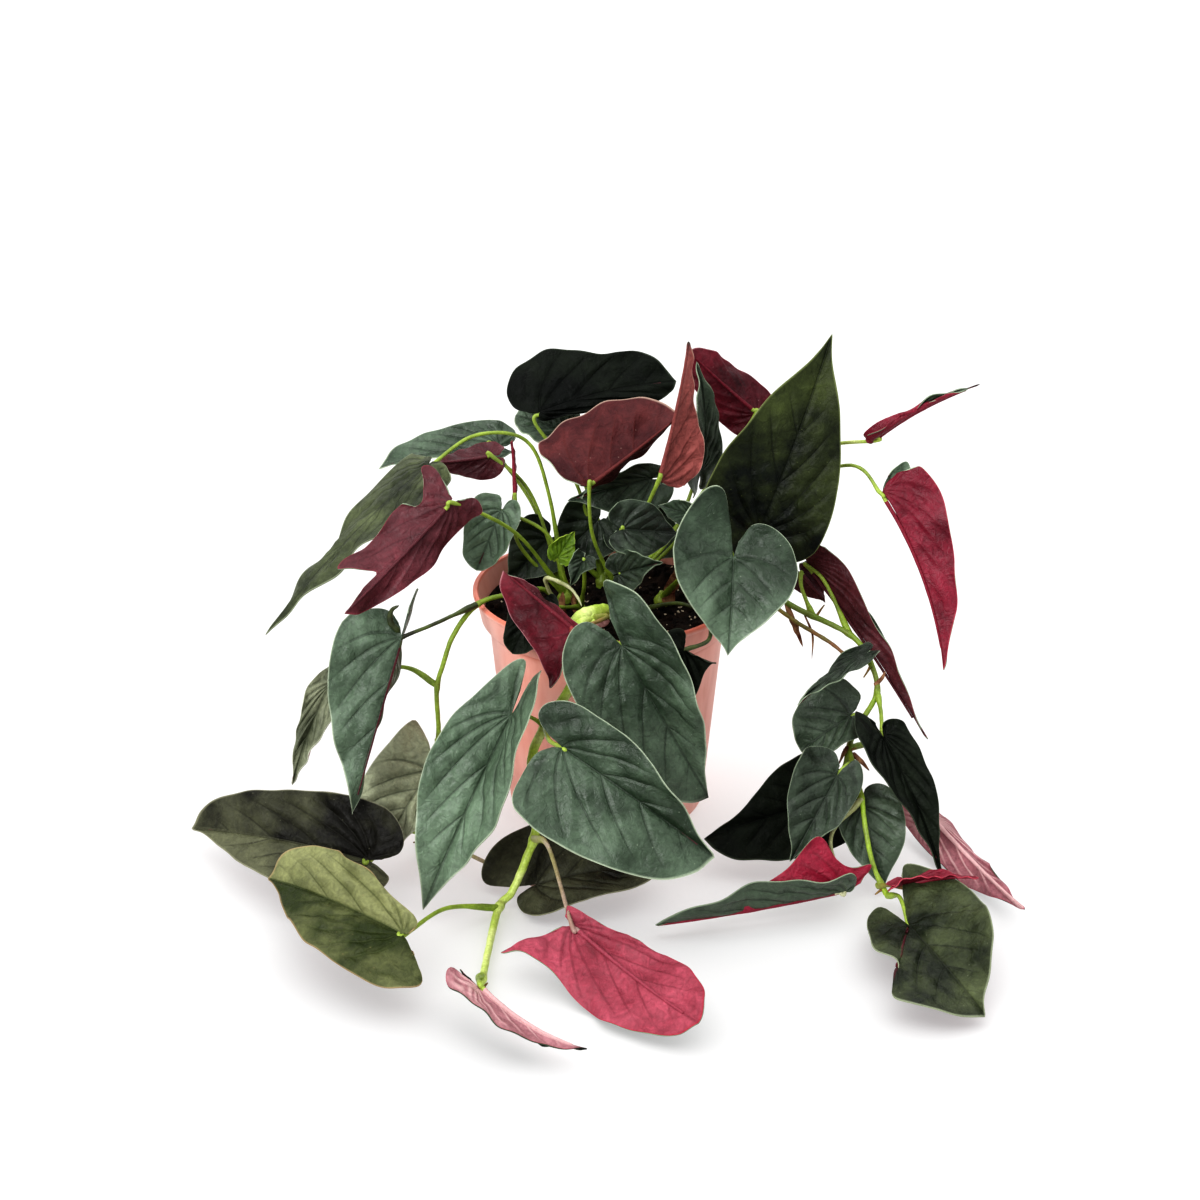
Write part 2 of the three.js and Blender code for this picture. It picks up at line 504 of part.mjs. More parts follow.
function soil() {
  const [[rimRadius, rimHigh], [bandRadius, bandHigh], [neckRadius, neckHigh], [floorRadius]] = INSIDE;
  const slope = (rimRadius - bandRadius) / (rimHigh - bandHigh);
  const edge = BANK_TOP - 2 * SEAT;
  const profile = [
    [0, FLOOR + SEAT],
    [floorRadius - SEAT, FLOOR + SEAT],
    [neckRadius - SEAT, neckHigh],
    [bandRadius - SEAT, bandHigh],
    [bandRadius + slope * (edge - bandHigh) - SEAT, edge],
    [BANK_CREST, BANK_TOP],
    [(BANK_CREST + BANK_FOOT) / 2, (BANK_TOP + SOIL_TOP) / 2],
    [BANK_FOOT, SOIL_TOP],
    [BANK_FOOT / 2, SOIL_TOP],
    [0, SOIL_TOP],
  ];
  const geometry = turned(profile, POT_SIDES);
  const places = geometry.attributes.position;
  for (let i = 0; i < places.count; i += 1) {
    const [x, y, z] = [places.getX(i), places.getY(i), places.getZ(i)];
    if (z > SOIL_TOP - SEAT && Math.hypot(x, y) < BANK_CREST + SEAT) places.setZ(i, z + lump(x, y));
  }
  let body = solidFrom(geometry);
  Object.values(SHOOTS).forEach(({ stem: { radius, route: [[x, y]] } }) => {
    const wide = (radius + HOLE_PLAY) / Math.cos(Math.PI / HOLE_SIDES);
    body = body.subtract(post(x, y, HOLE_BOTTOM, SOIL_TOP + 10, wide, HOLE_SIDES));
  });
  return body;
}

const plastic = new THREE.MeshStandardMaterial({ color: 0xc98a78, roughness: 0.55, metalness: 0 });
const peat = new THREE.MeshStandardMaterial({ color: 0x2e211b, roughness: 0.95, metalness: 0 });

const plant = new THREE.Group();
plant.add(meshFrom('pot', pot(), plastic));
plant.add(meshFrom('soil', soil(), peat));
Object.entries(SHOOTS).forEach(([name, one]) => {
  const foliage = new THREE.MeshStandardMaterial({ color: one.colour, roughness: 0.5, metalness: 0 });
  plant.add(meshFrom(name, shoot(one), foliage));
});

export default plant;
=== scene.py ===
"""A potted red arrow syngonium: dark arrow-shaped leaves, maroon beneath, in a thin nursery pot.

Places and sizes are millimetres in the row frame, +Z up and -Y to the front, until a mesh is made.
"""

import logging
import math
from dataclasses import dataclass
from enum import Enum
from functools import partial
from typing import Any, Callable, Optional, Sequence

import bpy
import numpy as np
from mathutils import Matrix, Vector

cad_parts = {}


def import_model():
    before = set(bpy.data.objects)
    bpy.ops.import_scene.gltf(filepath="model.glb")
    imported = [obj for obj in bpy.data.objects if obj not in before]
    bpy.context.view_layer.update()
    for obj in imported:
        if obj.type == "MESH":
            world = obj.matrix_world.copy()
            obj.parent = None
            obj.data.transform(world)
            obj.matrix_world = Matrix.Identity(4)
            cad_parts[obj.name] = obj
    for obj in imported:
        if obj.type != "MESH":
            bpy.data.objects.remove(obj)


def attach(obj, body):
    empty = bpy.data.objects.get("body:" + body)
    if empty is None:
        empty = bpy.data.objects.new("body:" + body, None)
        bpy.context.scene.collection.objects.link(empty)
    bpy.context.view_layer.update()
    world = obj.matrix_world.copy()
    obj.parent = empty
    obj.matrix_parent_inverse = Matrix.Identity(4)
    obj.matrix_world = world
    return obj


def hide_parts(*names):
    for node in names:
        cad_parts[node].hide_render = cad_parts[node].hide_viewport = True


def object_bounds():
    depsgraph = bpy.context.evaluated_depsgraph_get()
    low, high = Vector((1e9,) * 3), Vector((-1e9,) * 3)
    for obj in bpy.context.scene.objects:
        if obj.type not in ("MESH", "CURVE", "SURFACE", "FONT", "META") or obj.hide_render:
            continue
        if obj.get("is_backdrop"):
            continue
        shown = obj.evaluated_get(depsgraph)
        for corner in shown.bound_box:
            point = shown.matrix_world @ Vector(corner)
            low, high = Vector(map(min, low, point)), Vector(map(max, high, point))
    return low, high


LOG = logging.getLogger("syngonium")
MM = 0.001
Point = tuple[float, float, float]
Pair = tuple[float, float]
Socket = bpy.types.NodeSocket
Adder = Callable[..., Socket]


class Outline(Enum):
    """Half outlines from the tip to the sinus behind the stalk.

    Each point is (along the midrib, across), in hundredths of the length and of the half width.
    """

    HEART = ((100, 0), (86, 16), (66, 52), (42, 84), (15, 100), (-7, 90), (-20, 58), (-21, 28), (-10, 7))
    BLUNT = ((100, 0), (95, 30), (82, 62), (60, 84), (36, 97), (12, 100), (-7, 90), (-20, 58), (-21, 28),
             (-10, 7))
    TAILED = ((100, 0), (86, 10), (68, 28), (48, 60), (28, 90), (8, 100), (-10, 88), (-20, 56), (-21, 28),
              (-10, 7))
    BUMPED = ((100, 0), (95, 22), (80, 56), (64, 62), (50, 64), (34, 84), (16, 100), (-6, 92), (-20, 58),
              (-20, 26), (-9, 6))
    SPLIT = ((100, 0), (84, 10), (65, 16), (73, 50), (80, 82), (60, 74), (42, 76), (26, 84), (12, 50),
             (-6, 100), (-19, 86), (-14, 36), (-5, 6))
    LANCE = ((100, 0), (90, 36), (66, 72), (40, 84), (16, 80), (2, 86), (-14, 100), (-19, 55), (-8, 10))
    OBLONG = ((100, 0), (96, 42), (85, 82), (60, 100), (38, 85), (18, 60), (2, 46), (-10, 30), (-7, 6))
    NOTCHED = ((100, 0), (94, 43), (81, 80), (70, 100), (54, 82), (40, 62), (26, 77), (6, 66), (-7, 50),
               (-15, 30), (-17, 12), (-9, 4))
    POINTED = ((100, 0), (93, 40), (78, 72), (58, 95), (36, 100), (14, 93), (-8, 100), (-21, 126),
               (-12, 66), (-4, 12))
    PEAKED = ((100, 0), (75, 14), (50, 36), (28, 62), (9, 100), (1, 60), (-8, 42), (-21, 40), (-12, 10))
    EARED = ((100, 0), (86, 16), (66, 52), (42, 84), (15, 100), (-7, 100), (-17, 82), (-21, 58), (-13, 30),
             (-5, 10))
    ARROW = ((100, 0), (90, 26), (66, 50), (40, 62), (16, 72), (2, 86), (-14, 100), (-19, 55), (-8, 10))
    WAISTED = ((100, 0), (90, 20), (72, 36), (54, 46), (42, 64), (30, 92), (16, 100), (2, 72), (-14, 40),
               (-8, 8))
    SAIL = ((100, 0), (85, 24), (63, 60), (36, 100), (19, 96), (5, 97), (-12, 100), (-14, 60), (-10, 30),
            (-4, 8))
    HORNED = ((100, 0), (92, 42), (75, 80), (55, 96), (30, 100), (5, 95), (-13, 92), (-21, 82), (-16, 45),
              (-6, 8))
    DROOPED = ((100, 0), (88, 22), (70, 60), (50, 90), (32, 100), (12, 90), (-5, 66), (-18, 42), (-21, 20),
               (-10, 5))


(HEART, BLUNT, TAILED, BUMPED, SPLIT, LANCE, OBLONG, NOTCHED, POINTED, PEAKED, EARED, ARROW, WAISTED, SAIL,
 HORNED, DROOPED) = Outline


def linear(code: str) -> tuple[float, float, float, float]:
    """Turns an sRGB hex colour to linear: c / 12.92 below 0.04045, else ((c + 0.055) / 1.055) ** 2.4.

    Args:
        code: The colour as "#rrggbb".

    Returns:
        The linear colour, fully opaque.
    """
    parts = np.array([int(code[i:i + 2], 16) / 255 for i in (1, 3, 5)])
    value = np.where(parts < 0.04045, parts / 12.92, ((parts + 0.055) / 1.055) ** 2.4)
    return (*value.tolist(), 1.0)


def add(tree: bpy.types.NodeTree, kind: str, inputs: Any = (), out: Any = 0, **settings: Any) -> Socket:
    """Adds a node with its settings and links.

    Args:
        tree: The nodes that it joins.
        kind: The node's type, without the ShaderNode that each begins with.
        inputs: Values or output sockets, in the order of the node's inputs, or by their names or places.
        out: The name or place of the output that is wanted.
        settings: The node's own settings.

    Returns:
        The output.
    """
    node = tree.nodes.new(f"ShaderNode{kind}")
    for key, value in settings.items():
        setattr(node, key, value)
    for key, value in inputs.items() if isinstance(inputs, dict) else enumerate(inputs):
        if isinstance(value, Socket):
            tree.links.new(value, node.inputs[key])
        else:
            node.inputs[key].default_value = value
    return node.outputs[out]


def by_half(pair: Pair, b: np.ndarray) -> np.ndarray:
    """A pair's value at each place: the first on the left half, the second where b is below 0."""
    return np.where(b < 0, pair[1], pair[0])


def unit(vectors: Any) -> np.ndarray:
    """Vectors over their lengths, along the last axis."""
    array = np.asarray(vectors, float)
    return array / np.maximum(np.linalg.norm(array, axis=-1, keepdims=True), 1e-9)


def smooth_line(points: Sequence[Sequence[float]], steps: int) -> np.ndarray:
    """Smooth line through points: the uniform Catmull-Rom cubic, with its end stretches mirrored.

    Args:
        points: The points that the line passes through.
        steps: The number of steps in each stretch.

    Returns:
        The line's points.
    """
    p = np.asarray(points, float)
    p = np.vstack([2 * p[0] - p[1], p, 2 * p[-1] - p[-2]])
    a, b, c, d = p[:-3, None], p[1:-2, None], p[2:-1, None], p[3:, None]
    t = (np.arange(steps) / steps)[None, :, None]
    cubic = 0.5 * (2 * b + (c - a) * t + (2 * a - 5 * b + 4 * c - d) * t**2 + (3 * b - a - 3 * c + d) * t**3)
    return np.vstack([cubic.reshape(-1, p.shape[1]), p[-2]])


def lengths_along(line: np.ndarray) -> np.ndarray:
    """Distance of each point from the line's start, measured along the line."""
    return np.concatenate([[0.0], np.cumsum(np.linalg.norm(np.diff(line, axis=0), axis=1))])


def evenly(line: np.ndarray, count: int) -> np.ndarray:
    """The same line with `count` points at even distances, by interpolation over its length."""
    run = lengths_along(line)
    at = np.linspace(0, run[-1], count)
    return np.stack([np.interp(at, run, line[:, k]) for k in range(line.shape[1])], axis=1)


def ripple(places: np.ndarray, size: float, seed: int, count: int = 9) -> np.ndarray:
    """Smooth random relief: the sum of sin(k . p + phase) over `count` waves, over the root of count.

    Args:
        places: Points in mm, with their coordinates on the last axis.
        size: The typical wavelength in mm.
        seed: The seed of the waves' directions, lengths and phases.
        count: The number of waves.

    Returns:
        A value for each place, mostly between -1 and 1.
    """
    draw = np.random.default_rng(seed)
    ways = unit(draw.normal(size=(count, places.shape[-1])))
    k = ways * (2 * math.pi / size) * draw.uniform(0.6, 1.6, (count, 1))
    phases = draw.uniform(0, 2 * math.pi, count)
    return np.sin(places @ k.T + phases).sum(axis=-1) / math.sqrt(count)


class Piece:
    """A mesh in the making: places in mm, faces of three or four corners, and two named values a place."""

    def __init__(self) -> None:
        """Starts with nothing in it."""
        self.places: list[np.ndarray] = []
        self.faces: list[np.ndarray] = []
        self.slots: list[np.ndarray] = []
        self.values: dict[str, list[np.ndarray]] = {"lie": [], "paint": []}
        self.count = 0

    def put(self, places: np.ndarray, faces: np.ndarray, slot: Any = 0, lie: Any = (0, 9, 9),
            paint: Any = (0.5, 0, 0)) -> None:
        """Adds a shape.

        Args:
            places: Its places, n by 3.
            faces: Its faces, m by 4, with -1 as the fourth corner of a triangle.
            slot: The material slot of all its faces, or of each.
            lie: Where each place lies among the veins: vein count, mm for each vein, mm from the midrib.
            paint: Tone, stain and share of the way to the margin, for all places or each.
        """
        self.places.append(places)
        self.faces.append(np.where(faces < 0, -1, faces + self.count))
        self.slots.append(np.broadcast_to(slot, len(faces)))
        for name, value in (("lie", lie), ("paint", paint)):
            self.values[name].append(np.broadcast_to(np.asarray(value, float), (len(places), 3)))
        self.count += len(places)

    def build(self, name: str, materials: Sequence[bpy.types.Material],
              sharp: float = 50) -> bpy.types.Object:
        """Makes the object.

        Args:
            name: Its name.
            materials: A material for each slot.
            sharp: The angle in degrees above which an edge stays sharp.

        Returns:
            The object, at the origin.
        """
        places = np.vstack(self.places) * MM
        faces = np.vstack(self.faces)
        mesh = bpy.data.meshes.new(name)
        mesh.vertices.add(len(places))
        mesh.vertices.foreach_set("co", places.astype(np.float32).ravel())
        corners = faces[faces >= 0]
        sizes = (faces >= 0).sum(axis=1)
        mesh.loops.add(len(corners))
        mesh.loops.foreach_set("vertex_index", corners.astype(np.int32))
        mesh.polygons.add(len(faces))
        mesh.polygons.foreach_set("loop_start", (np.cumsum(sizes) - sizes).astype(np.int32))
        mesh.polygons.foreach_set("material_index", np.concatenate(self.slots).astype(np.int32))
        mesh.update(calc_edges=True)
        for key, parts in self.values.items():
            layer = mesh.attributes.new(key, "FLOAT_VECTOR", "POINT")
            layer.data.foreach_set("vector", np.vstack(parts).astype(np.float32).ravel())
        mesh.validate()
        mesh.shade_smooth()
        mesh.set_sharp_from_angle(angle=math.radians(sharp))
        for material in materials:
            mesh.materials.append(material)
        piece = bpy.data.objects.new(name, mesh)
        bpy.context.scene.collection.objects.link(piece)
        return piece


def ring_faces(rings: int, sides: int) -> np.ndarray:
    """Faces of a stack of closed rings with both ends shut.

    Args:
        rings: The number of rings.
        sides: The number of places in each.

    Returns:
        The faces, where the two places after the rings are the middles of the first and last ring.
    """
    i = np.arange(rings - 1)[:, None] * sides
    j = np.arange(sides)[None]
    k = (j + 1) % sides
    walls = np.stack([i + j, i + k, i + k + sides, i + j + sides], axis=-1).reshape(-1, 4)
    first, last = rings * sides, rings * sides + 1
    row, none = np.arange(sides), np.full(sides, -1)
    after, top = (row + 1) % sides, (rings - 1) * sides
    start = np.stack([after, row, np.full(sides, first), none], axis=1)
    end = np.stack([row + top, after + top, np.full(sides, last), none], axis=1)
    return np.vstack([walls, start, end])


def turned(line: np.ndarray, sides: int) -> np.ndarray:
    """Rings of an outline of (radius, height) turned about Z: (r cos t, r sin t, z) at even turns t."""
    turn = np.arange(sides) * 2 * math.pi / sides
    around = np.stack([np.cos(turn), np.sin(turn), 0 * turn], axis=1)
    return line[:, None, :1] * around + np.array([0, 0, 1]) * line[:, None, 1:]


def shut(rings: np.ndarray) -> np.ndarray:
    """The places of a stack of rings, with the middles of its first and last ring after them."""
    return np.vstack([rings.reshape(-1, 3), rings[0].mean(axis=0), rings[-1].mean(axis=0)])


def tube_rings(line: np.ndarray, radius: Any, sides: int, flat: float = 1.0, seed: int = 0) -> np.ndarray:
    """Rings along a line: centre + r (cos t u + flat sin t v), where u and v are square to the line.

    u is the direction that the line turns towards least, made square to it at each point.

    Args:
        line: The centre line.
        radius: The radius at each point, or one for all.
        sides: The number of places round a ring.
        flat: The second axis's share of the first.
        seed: The seed of the slight unevenness, or 0 for none.

    Returns:
        The rings, points by sides by 3.
    """
    ahead = unit(np.gradient(line, axis=0))
    least = np.linalg.svd(ahead, full_matrices=False)[2][-1]
    u = unit(least - ahead * (ahead @ least)[:, None])
    v = np.cross(ahead, u)
    turn = np.arange(sides) * 2 * math.pi / sides
    r = np.broadcast_to(radius, len(line))[:, None, None]
    rings = r * (u[:, None] * np.cos(turn)[:, None] + flat * v[:, None] * np.sin(turn)[:, None])
    places = line[:, None] + rings
    if seed:
        places = places + rings * 0.05 * ripple(places, 4.0, seed)[..., None]
    return places


class Finish:
    """What the finishes share: each is one material, made once, under its own name."""

    def title(self) -> str:
        """The material's name."""
        raise NotImplementedError

    def shade(self, put: Adder, where: Socket) -> Socket:
        """Works out the surface.

        Args:
            put: Adds a node to the material.
            where: The place on the piece.

        Returns:
            The shader.
        """
        raise NotImplementedError

    def build(self) -> bpy.types.Material:
        """Makes the material, once for all the pieces that have it."""
        if self.title() in bpy.data.materials:
            return bpy.data.materials[self.title()]
        material = bpy.data.materials.new(self.title())
        material.use_nodes = True
        tree = material.node_tree
        tree.nodes.remove(tree.nodes["Principled BSDF"])
        put = partial(add, tree)
        shader = self.shade(put, put("TexCoord", out="Object"))
        tree.links.new(shader, tree.nodes["Material Output"].inputs["Surface"])
        return material


class Side(Enum):
    """Finish of one side of a leaf: dark and lit colour, veins, margin, roughness and gloss."""

    # NIGHT and DUSK are partly the leaves' own dark skin and partly painted shade for leaves in shadow.
    NIGHT = ("#070b08", "#262d22", "#030503", "#4c5546", 0.5, 0.15)
    FOREST = ("#141d14", "#4f5d4c", "#10180f", "#8b9982", 0.4, 0.45)
    SAGE = ("#2b3a2a", "#6c7f6a", "#1d291c", "#b4c0a8", 0.4, 0.5)
    MOSS = ("#0a110b", "#4e5830", "#0c120a", "#7c8657", 0.48, 0.25)
    FERN = ("#1d2416", "#6b7452", "#171c11", "#98a086", 0.47, 0.3)
    OLIVE = ("#2c3612", "#85885f", "#39421c", "#a08a68", 0.5, 0.3)
    DUSK = ("#100f09", "#62644d", "#16150c", "#8f8f78", 0.48, 0.25)
    RIBBED = ("#2a3120", "#9da288", "#363d2c", "#c6c9b6", 0.48, 0.3)
    LIME = ("#44601a", "#84a02c", "#3d5518", "#a9bf4c", 0.45, 0.4)
    MAROON = ("#22080d", "#6c343c", "#43171f", "#8a3a46", 0.44, 0.4)
    WINE = ("#2c070e", "#802b3a", "#4b121c", "#b98a8e", 0.44, 0.25)
    CRIMSON = ("#430b17", "#962b42", "#6a1828", "#b34656", 0.44, 0.4)
    # ROSE and CORAL: the whitish margin is partly a pale edge and partly a painted rim highlight.
    ROSE = ("#481e21", "#7a4140", "#54211f", "#c9b0a0", 0.55, 0.25)
    CORAL = ("#6a3432", "#a5625d", "#54211f", "#c9b0a0", 0.55, 0.25)
    PINK = ("#7c2d3b", "#b5596a", "#671f2e", "#a02439", 0.5, 0.35)
    BLUSH = ("#8f5a62", "#b88b8f", "#dcbab8", "#9a3346", 0.5, 0.35)

    def __init__(self, deep: str, lit: str, vein: str, margin: str, rough: float, gloss: float) -> None:
        """Keeps the finish's values by name."""
        self.deep, self.lit, self.vein, self.margin = deep, lit, vein, margin
        self.rough, self.gloss = rough, gloss


(NIGHT, FOREST, SAGE, MOSS, FERN, OLIVE, DUSK, RIBBED, LIME, MAROON, WINE, CRIMSON, ROSE, CORAL, PINK,
 BLUSH) = Side


@dataclass(frozen=True)
class LeafSkin(Finish):
    """Leaf cuticle: a waxy skin over soft tissue, satin, with sunken veins above and raised ones beneath.

    A vein or trough is full up to the first of its two mm, and gone at the second. The other mm are the
    sizes of what repeats on the skin, and the greatest height of each relief.
    """

    side: Side
    raised: bool
    mottle_mm: float = 18.0
    crinkle_mm: float = 4.5
    network_mm: float = 2.4
    pore_mm: float = 0.7
    speck_mm: float = 4.5
    vein_mm: Pair = (0.12, 0.6)
    midrib_mm: Pair = (0.2, 0.8)
    vein_trough_mm: Pair = (0.0, 2.4)
    midrib_trough_mm: Pair = (0.0, 2.8)
    trough_depth: float = 0.6
    vein_depth: float = 0.2
    crinkle_height: float = 0.9
    cell_height: float = 0.04
    pore_height: float = 0.05
    rise_beneath: float = 0.4
    stain: str = "#0d0b09"

    def title(self) -> str:
        """The material's name."""
        return f"leaf_{self.side.name.lower()}_{'beneath' if self.raised else 'above'}"

    def shade(self, put: Adder, where: Socket) -> Socket:
        """Works out the skin from two named values.

        lie is the count of side veins, the mm that one count spans and the mm from the midrib. paint is the
        tone, the stain and the share of the way to the margin.

        Args:
            put: Adds a node to the material.
            where: The place on the piece.

        Returns:
            The shader.
        """
        side = self.side
        lie, paint = (put("SeparateXYZ", [put("Attribute", out="Vector", attribute_name=name)]).node.outputs
                      for name in ("lie", "paint"))
        count, span, from_midrib = lie
        tone, stain, out = paint

        # Side veins lie where the count is whole: mm to the nearest is pingpong(count, 1/2) times the span.
        share = put("Math", (count, 0.5), operation="PINGPONG")
        from_vein = put("Math", (share, span), operation="MULTIPLY")
        inner = put("MapRange", (out, 0.7, 0.96, 1.0, 0.0))
        near = [put("MapRange", (mm, *band, 1.0, 0.0), interpolation_type="SMOOTHSTEP")
                for mm, band in ((from_vein, self.vein_mm), (from_midrib, self.midrib_mm),
                                 (from_vein, self.vein_trough_mm), (from_midrib, self.midrib_trough_mm))]
        veins = [put("Math", (one, inner), operation="MULTIPLY") for one in near[::2]]
        line, trough = (put("Math", pair, operation="MAXIMUM") for pair in zip(veins, near[1::2]))

        # The fine net between the veins, the crinkles, the pores, the blotches and the dusty specks.
        net_scale = 1 / (self.network_mm * MM)
        bent = put("TexNoise", {"Vector": where, "Scale": net_scale}, "Color")
        astray = put("Mix", {0: 0.0007, 4: where, 5: bent}, 1, data_type="VECTOR")
        net = put("TexVoronoi", {"Vector": astray, "Scale": net_scale}, feature="DISTANCE_TO_EDGE")
        cells = put("MapRange", (net, 0.0, 0.3, 0.0, 1.0), interpolation_type="SMOOTHSTEP")
        crinkle, pores, blotch = (
            put("TexNoise", {"Vector": where, "Scale": 1 / (mm * MM), "Detail": detail, "Roughness": rough,
                             "Distortion": bend})
            for mm, detail, rough, bend in ((self.crinkle_mm, 4, 0.6, 1.4), (self.pore_mm, 2, 0.5, 0),
                                            (self.mottle_mm, 5, 0.62, 0)))
        dots = put("TexVoronoi", {"Vector": where, "Scale": 1 / (self.speck_mm * MM)})
        speck = put("MapRange", (dots, 0.03, 0.08, 1.0, 0.0))

        # The colour: dark to lit by tone, which carries painted light and shade, and by blotches,
        # then crinkles, veins, specks, margin and stains.
        swing = put("MapRange", (blotch, 0.32, 0.68, -0.26, 0.26))
        toned = put("Math", (tone, swing), operation="ADD", use_clamp=True)
        grey = put("MapRange", (crinkle, 0.3, 0.7, 0.8, 1.2))
        fine = put("MapRange", (cells, 0.0, 1.0, 0.9, 1.0))
        shades = put("CombineXYZ", [put("Math", (grey, fine), operation="MULTIPLY")] * 3)
        veil = put("Math", (line, 0.5), operation="MULTIPLY")
        dust = put("Math", (speck, 0.3), operation="MULTIPLY")
        edge = put("MapRange", (out, 0.98, 1.0, 0.0, 0.8))
        colour = put("Mix", {0: toned, 6: linear(side.deep), 7: linear(side.lit)}, 2, data_type="RGBA")
        colour = put("Mix", {0: 1.0, 6: colour, 7: shades}, 2, data_type="RGBA", blend_type="MULTIPLY")
        for share, over in ((veil, side.vein), (dust, side.margin), (edge, side.margin), (stain, self.stain)):
            colour = put("Mix", {0: share, 6: colour, 7: linear(over)}, 2, data_type="RGBA")

        # The relief in mm: troughs along the veins, crinkles, cells of the net, pores.
        way = self.rise_beneath if self.raised else -1.0
        height = 0.0
        for part, mm in ((trough, way * self.trough_depth), (line, way * self.vein_depth),
                         (crinkle, self.crinkle_height), (cells, self.cell_height),
                         (pores, self.pore_height)):
            height = put("Math", (part, mm, height), operation="MULTIPLY_ADD")
        bump = put("Bump", {"Strength": 0.9, "Distance": MM, "Height": height})
        sheen = put("MapRange", (blotch, 0.3, 0.7, side.rough - 0.08, side.rough + 0.1))
        return put("BsdfPrincipled", {"Base Color": colour, "Roughness": sheen, "Normal": bump, "IOR": 1.45,
                                      "Specular IOR Level": side.gloss})


class StemTint(Enum):
    """Colours of a stem or stalk: at its foot, at its end, and in its streaks."""

    GREEN = ("#8fa83a", "#9db34e", "#6c7f35")
    BRIGHT = ("#b0cc4e", "#a9bf52", "#d8e39a")
    BROWN = ("#8a8f3c", "#6a4438", "#6e5a34")
    DARK = ("#3a4425", "#2b2a20", "#5b6a33")
    PINKISH = ("#97a05a", "#9a7a74", "#b9a6a0")
    RED = ("#8c9a48", "#8c2532", "#6a7038")
    SHADED = ("#46532a", "#a3c23c", "#7b8a44")
    PALE = ("#aeb27c", "#cfcfae", "#8a8f5e")

    def __init__(self, foot: str, end: str, streak: str) -> None:
        """Keeps the tint's values by name."""
        self.foot, self.end, self.streak = foot, end, streak


GREEN, BRIGHT, BROWN, DARK, PINKISH, RED, SHADED, PALE = StemTint


@dataclass(frozen=True)
class StemSkin(Finish):
    """Stem and stalk skin: smooth green tissue with long streaks, a soft gloss and scars at the nodes."""

    tint: StemTint
    blotch_mm: float = 9.0
    streak_mm: float = 1.1
    streak_depth: float = 0.15
    scarred: str = "#5a3f26"

    def title(self) -> str:
        """The material's name."""
        return f"stem_{self.tint.name.lower()}"

    def shade(self, put: Adder, where: Socket) -> Socket:
        """Works out the skin, whose named value paint is the share along, the scar, and nothing.

        Args:
            put: Adds a node to the material.
            where: The place on the piece.

        Returns:
            The shader.
        """
        paint = put("Attribute", out="Vector", attribute_name="paint")
        along, scar, _ = put("SeparateXYZ", [paint]).node.outputs
        blotch, streak = (put("TexNoise", {"Vector": where, "Scale": 1 / (mm * MM), "Detail": 3})
                          for mm in (self.blotch_mm, self.streak_mm))
        part = put("MapRange", (blotch, 0.4, 0.68, 0.0, 0.75))
        colour = linear(self.tint.foot)
        for share, over in ((along, self.tint.end), (part, self.tint.streak)):
            colour = put("Mix", {0: share, 6: colour, 7: linear(over)}, 2, data_type="RGBA")
        flecks = put("CombineXYZ", [put("MapRange", (streak, 0.35, 0.7, 0.82, 1.1))] * 3)
        colour = put("Mix", {0: 1.0, 6: colour, 7: flecks}, 2, data_type="RGBA", blend_type="MULTIPLY")
        colour = put("Mix", {0: scar, 6: colour, 7: linear(self.scarred)}, 2, data_type="RGBA")
        bump = put("Bump", {"Strength": 0.5, "Distance": self.streak_depth * MM, "Height": streak})
        return put("BsdfPrincipled", {"Base Color": colour, "Roughness": 0.42, "Normal": bump, "IOR": 1.45})


@dataclass(frozen=True)
class PotPlastic(Finish):
    """Moulded polypropylene: thin, terracotta-coloured, satin, with faint flow marks and pale worn clouds.

    The red lip and the painted shade at the foot of the rim band start and end at heights in metres.
    """

    body: str = "#df9a8a"
    worn: str = "#efc6bb"
    deep: str = "#bd6853"
    lip: str = "#e0745a"
    cloud_mm: float = 35.0
    flow_mm: float = 5.0
    grain_mm: float = 0.6
    grain_depth: float = 0.1
    lip_at: Pair = (0.1036, 0.1046)
    band_shade_foot: Pair = (0.0865, 0.0905)
    band_shade_top: Pair = (0.0905, 0.0918)

    def title(self) -> str:
        """The material's name."""
        return "moulded_terracotta_plastic"

    def shade(self, put: Adder, where: Socket) -> Socket:
        """Works out the plastic: pale clouds, dull upright flow marks, a red lip, painted shade at the foot
        of the band.

        Args:
            put: Adds a node to the material.
            where: The place on the piece.

        Returns:
            The shader.
        """
        stretched = put("Mapping", {"Vector": where, "Scale": (1, 1, 0.12)})
        cloud, flow, grain = (put("TexNoise", {"Vector": at, "Scale": 1 / (mm * MM), "Detail": detail})
                              for at, mm, detail in ((where, self.cloud_mm, 4), (stretched, self.flow_mm, 3),
                                                     (where, self.grain_mm, 2)))
        pale = put("MapRange", (cloud, 0.35, 0.7, 0.0, 0.55))
        dull = put("MapRange", (flow, 0.45, 0.75, 0.0, 0.3))
        height = put("SeparateXYZ", [where], "Z")
        edge = put("MapRange", (height, *self.lip_at, 0.0, 0.7))
        # Painted shade: darker along the foot of the rim band, where the band's shadow falls.
        below = put("MapRange", (height, *self.band_shade_foot, 0.0, 0.75), interpolation_type="SMOOTHSTEP")
        above = put("MapRange", (height, *self.band_shade_top, 1.0, 0.0))
        band_shade = put("Math", (below, above), operation="MULTIPLY")
        colour = linear(self.body)
        for share, over in ((pale, self.worn), (dull, self.deep), (edge, self.lip), (band_shade, self.deep)):
            colour = put("Mix", {0: share, 6: colour, 7: linear(over)}, 2, data_type="RGBA")
        rough = put("MapRange", (grain, 0.0, 1.0, 0.38, 0.55))
        bump = put("Bump", {"Strength": 0.25, "Distance": self.grain_depth * MM, "Height": grain})
        return put("BsdfPrincipled", {"Base Color": colour, "Roughness": rough, "Normal": bump, "IOR": 1.49})


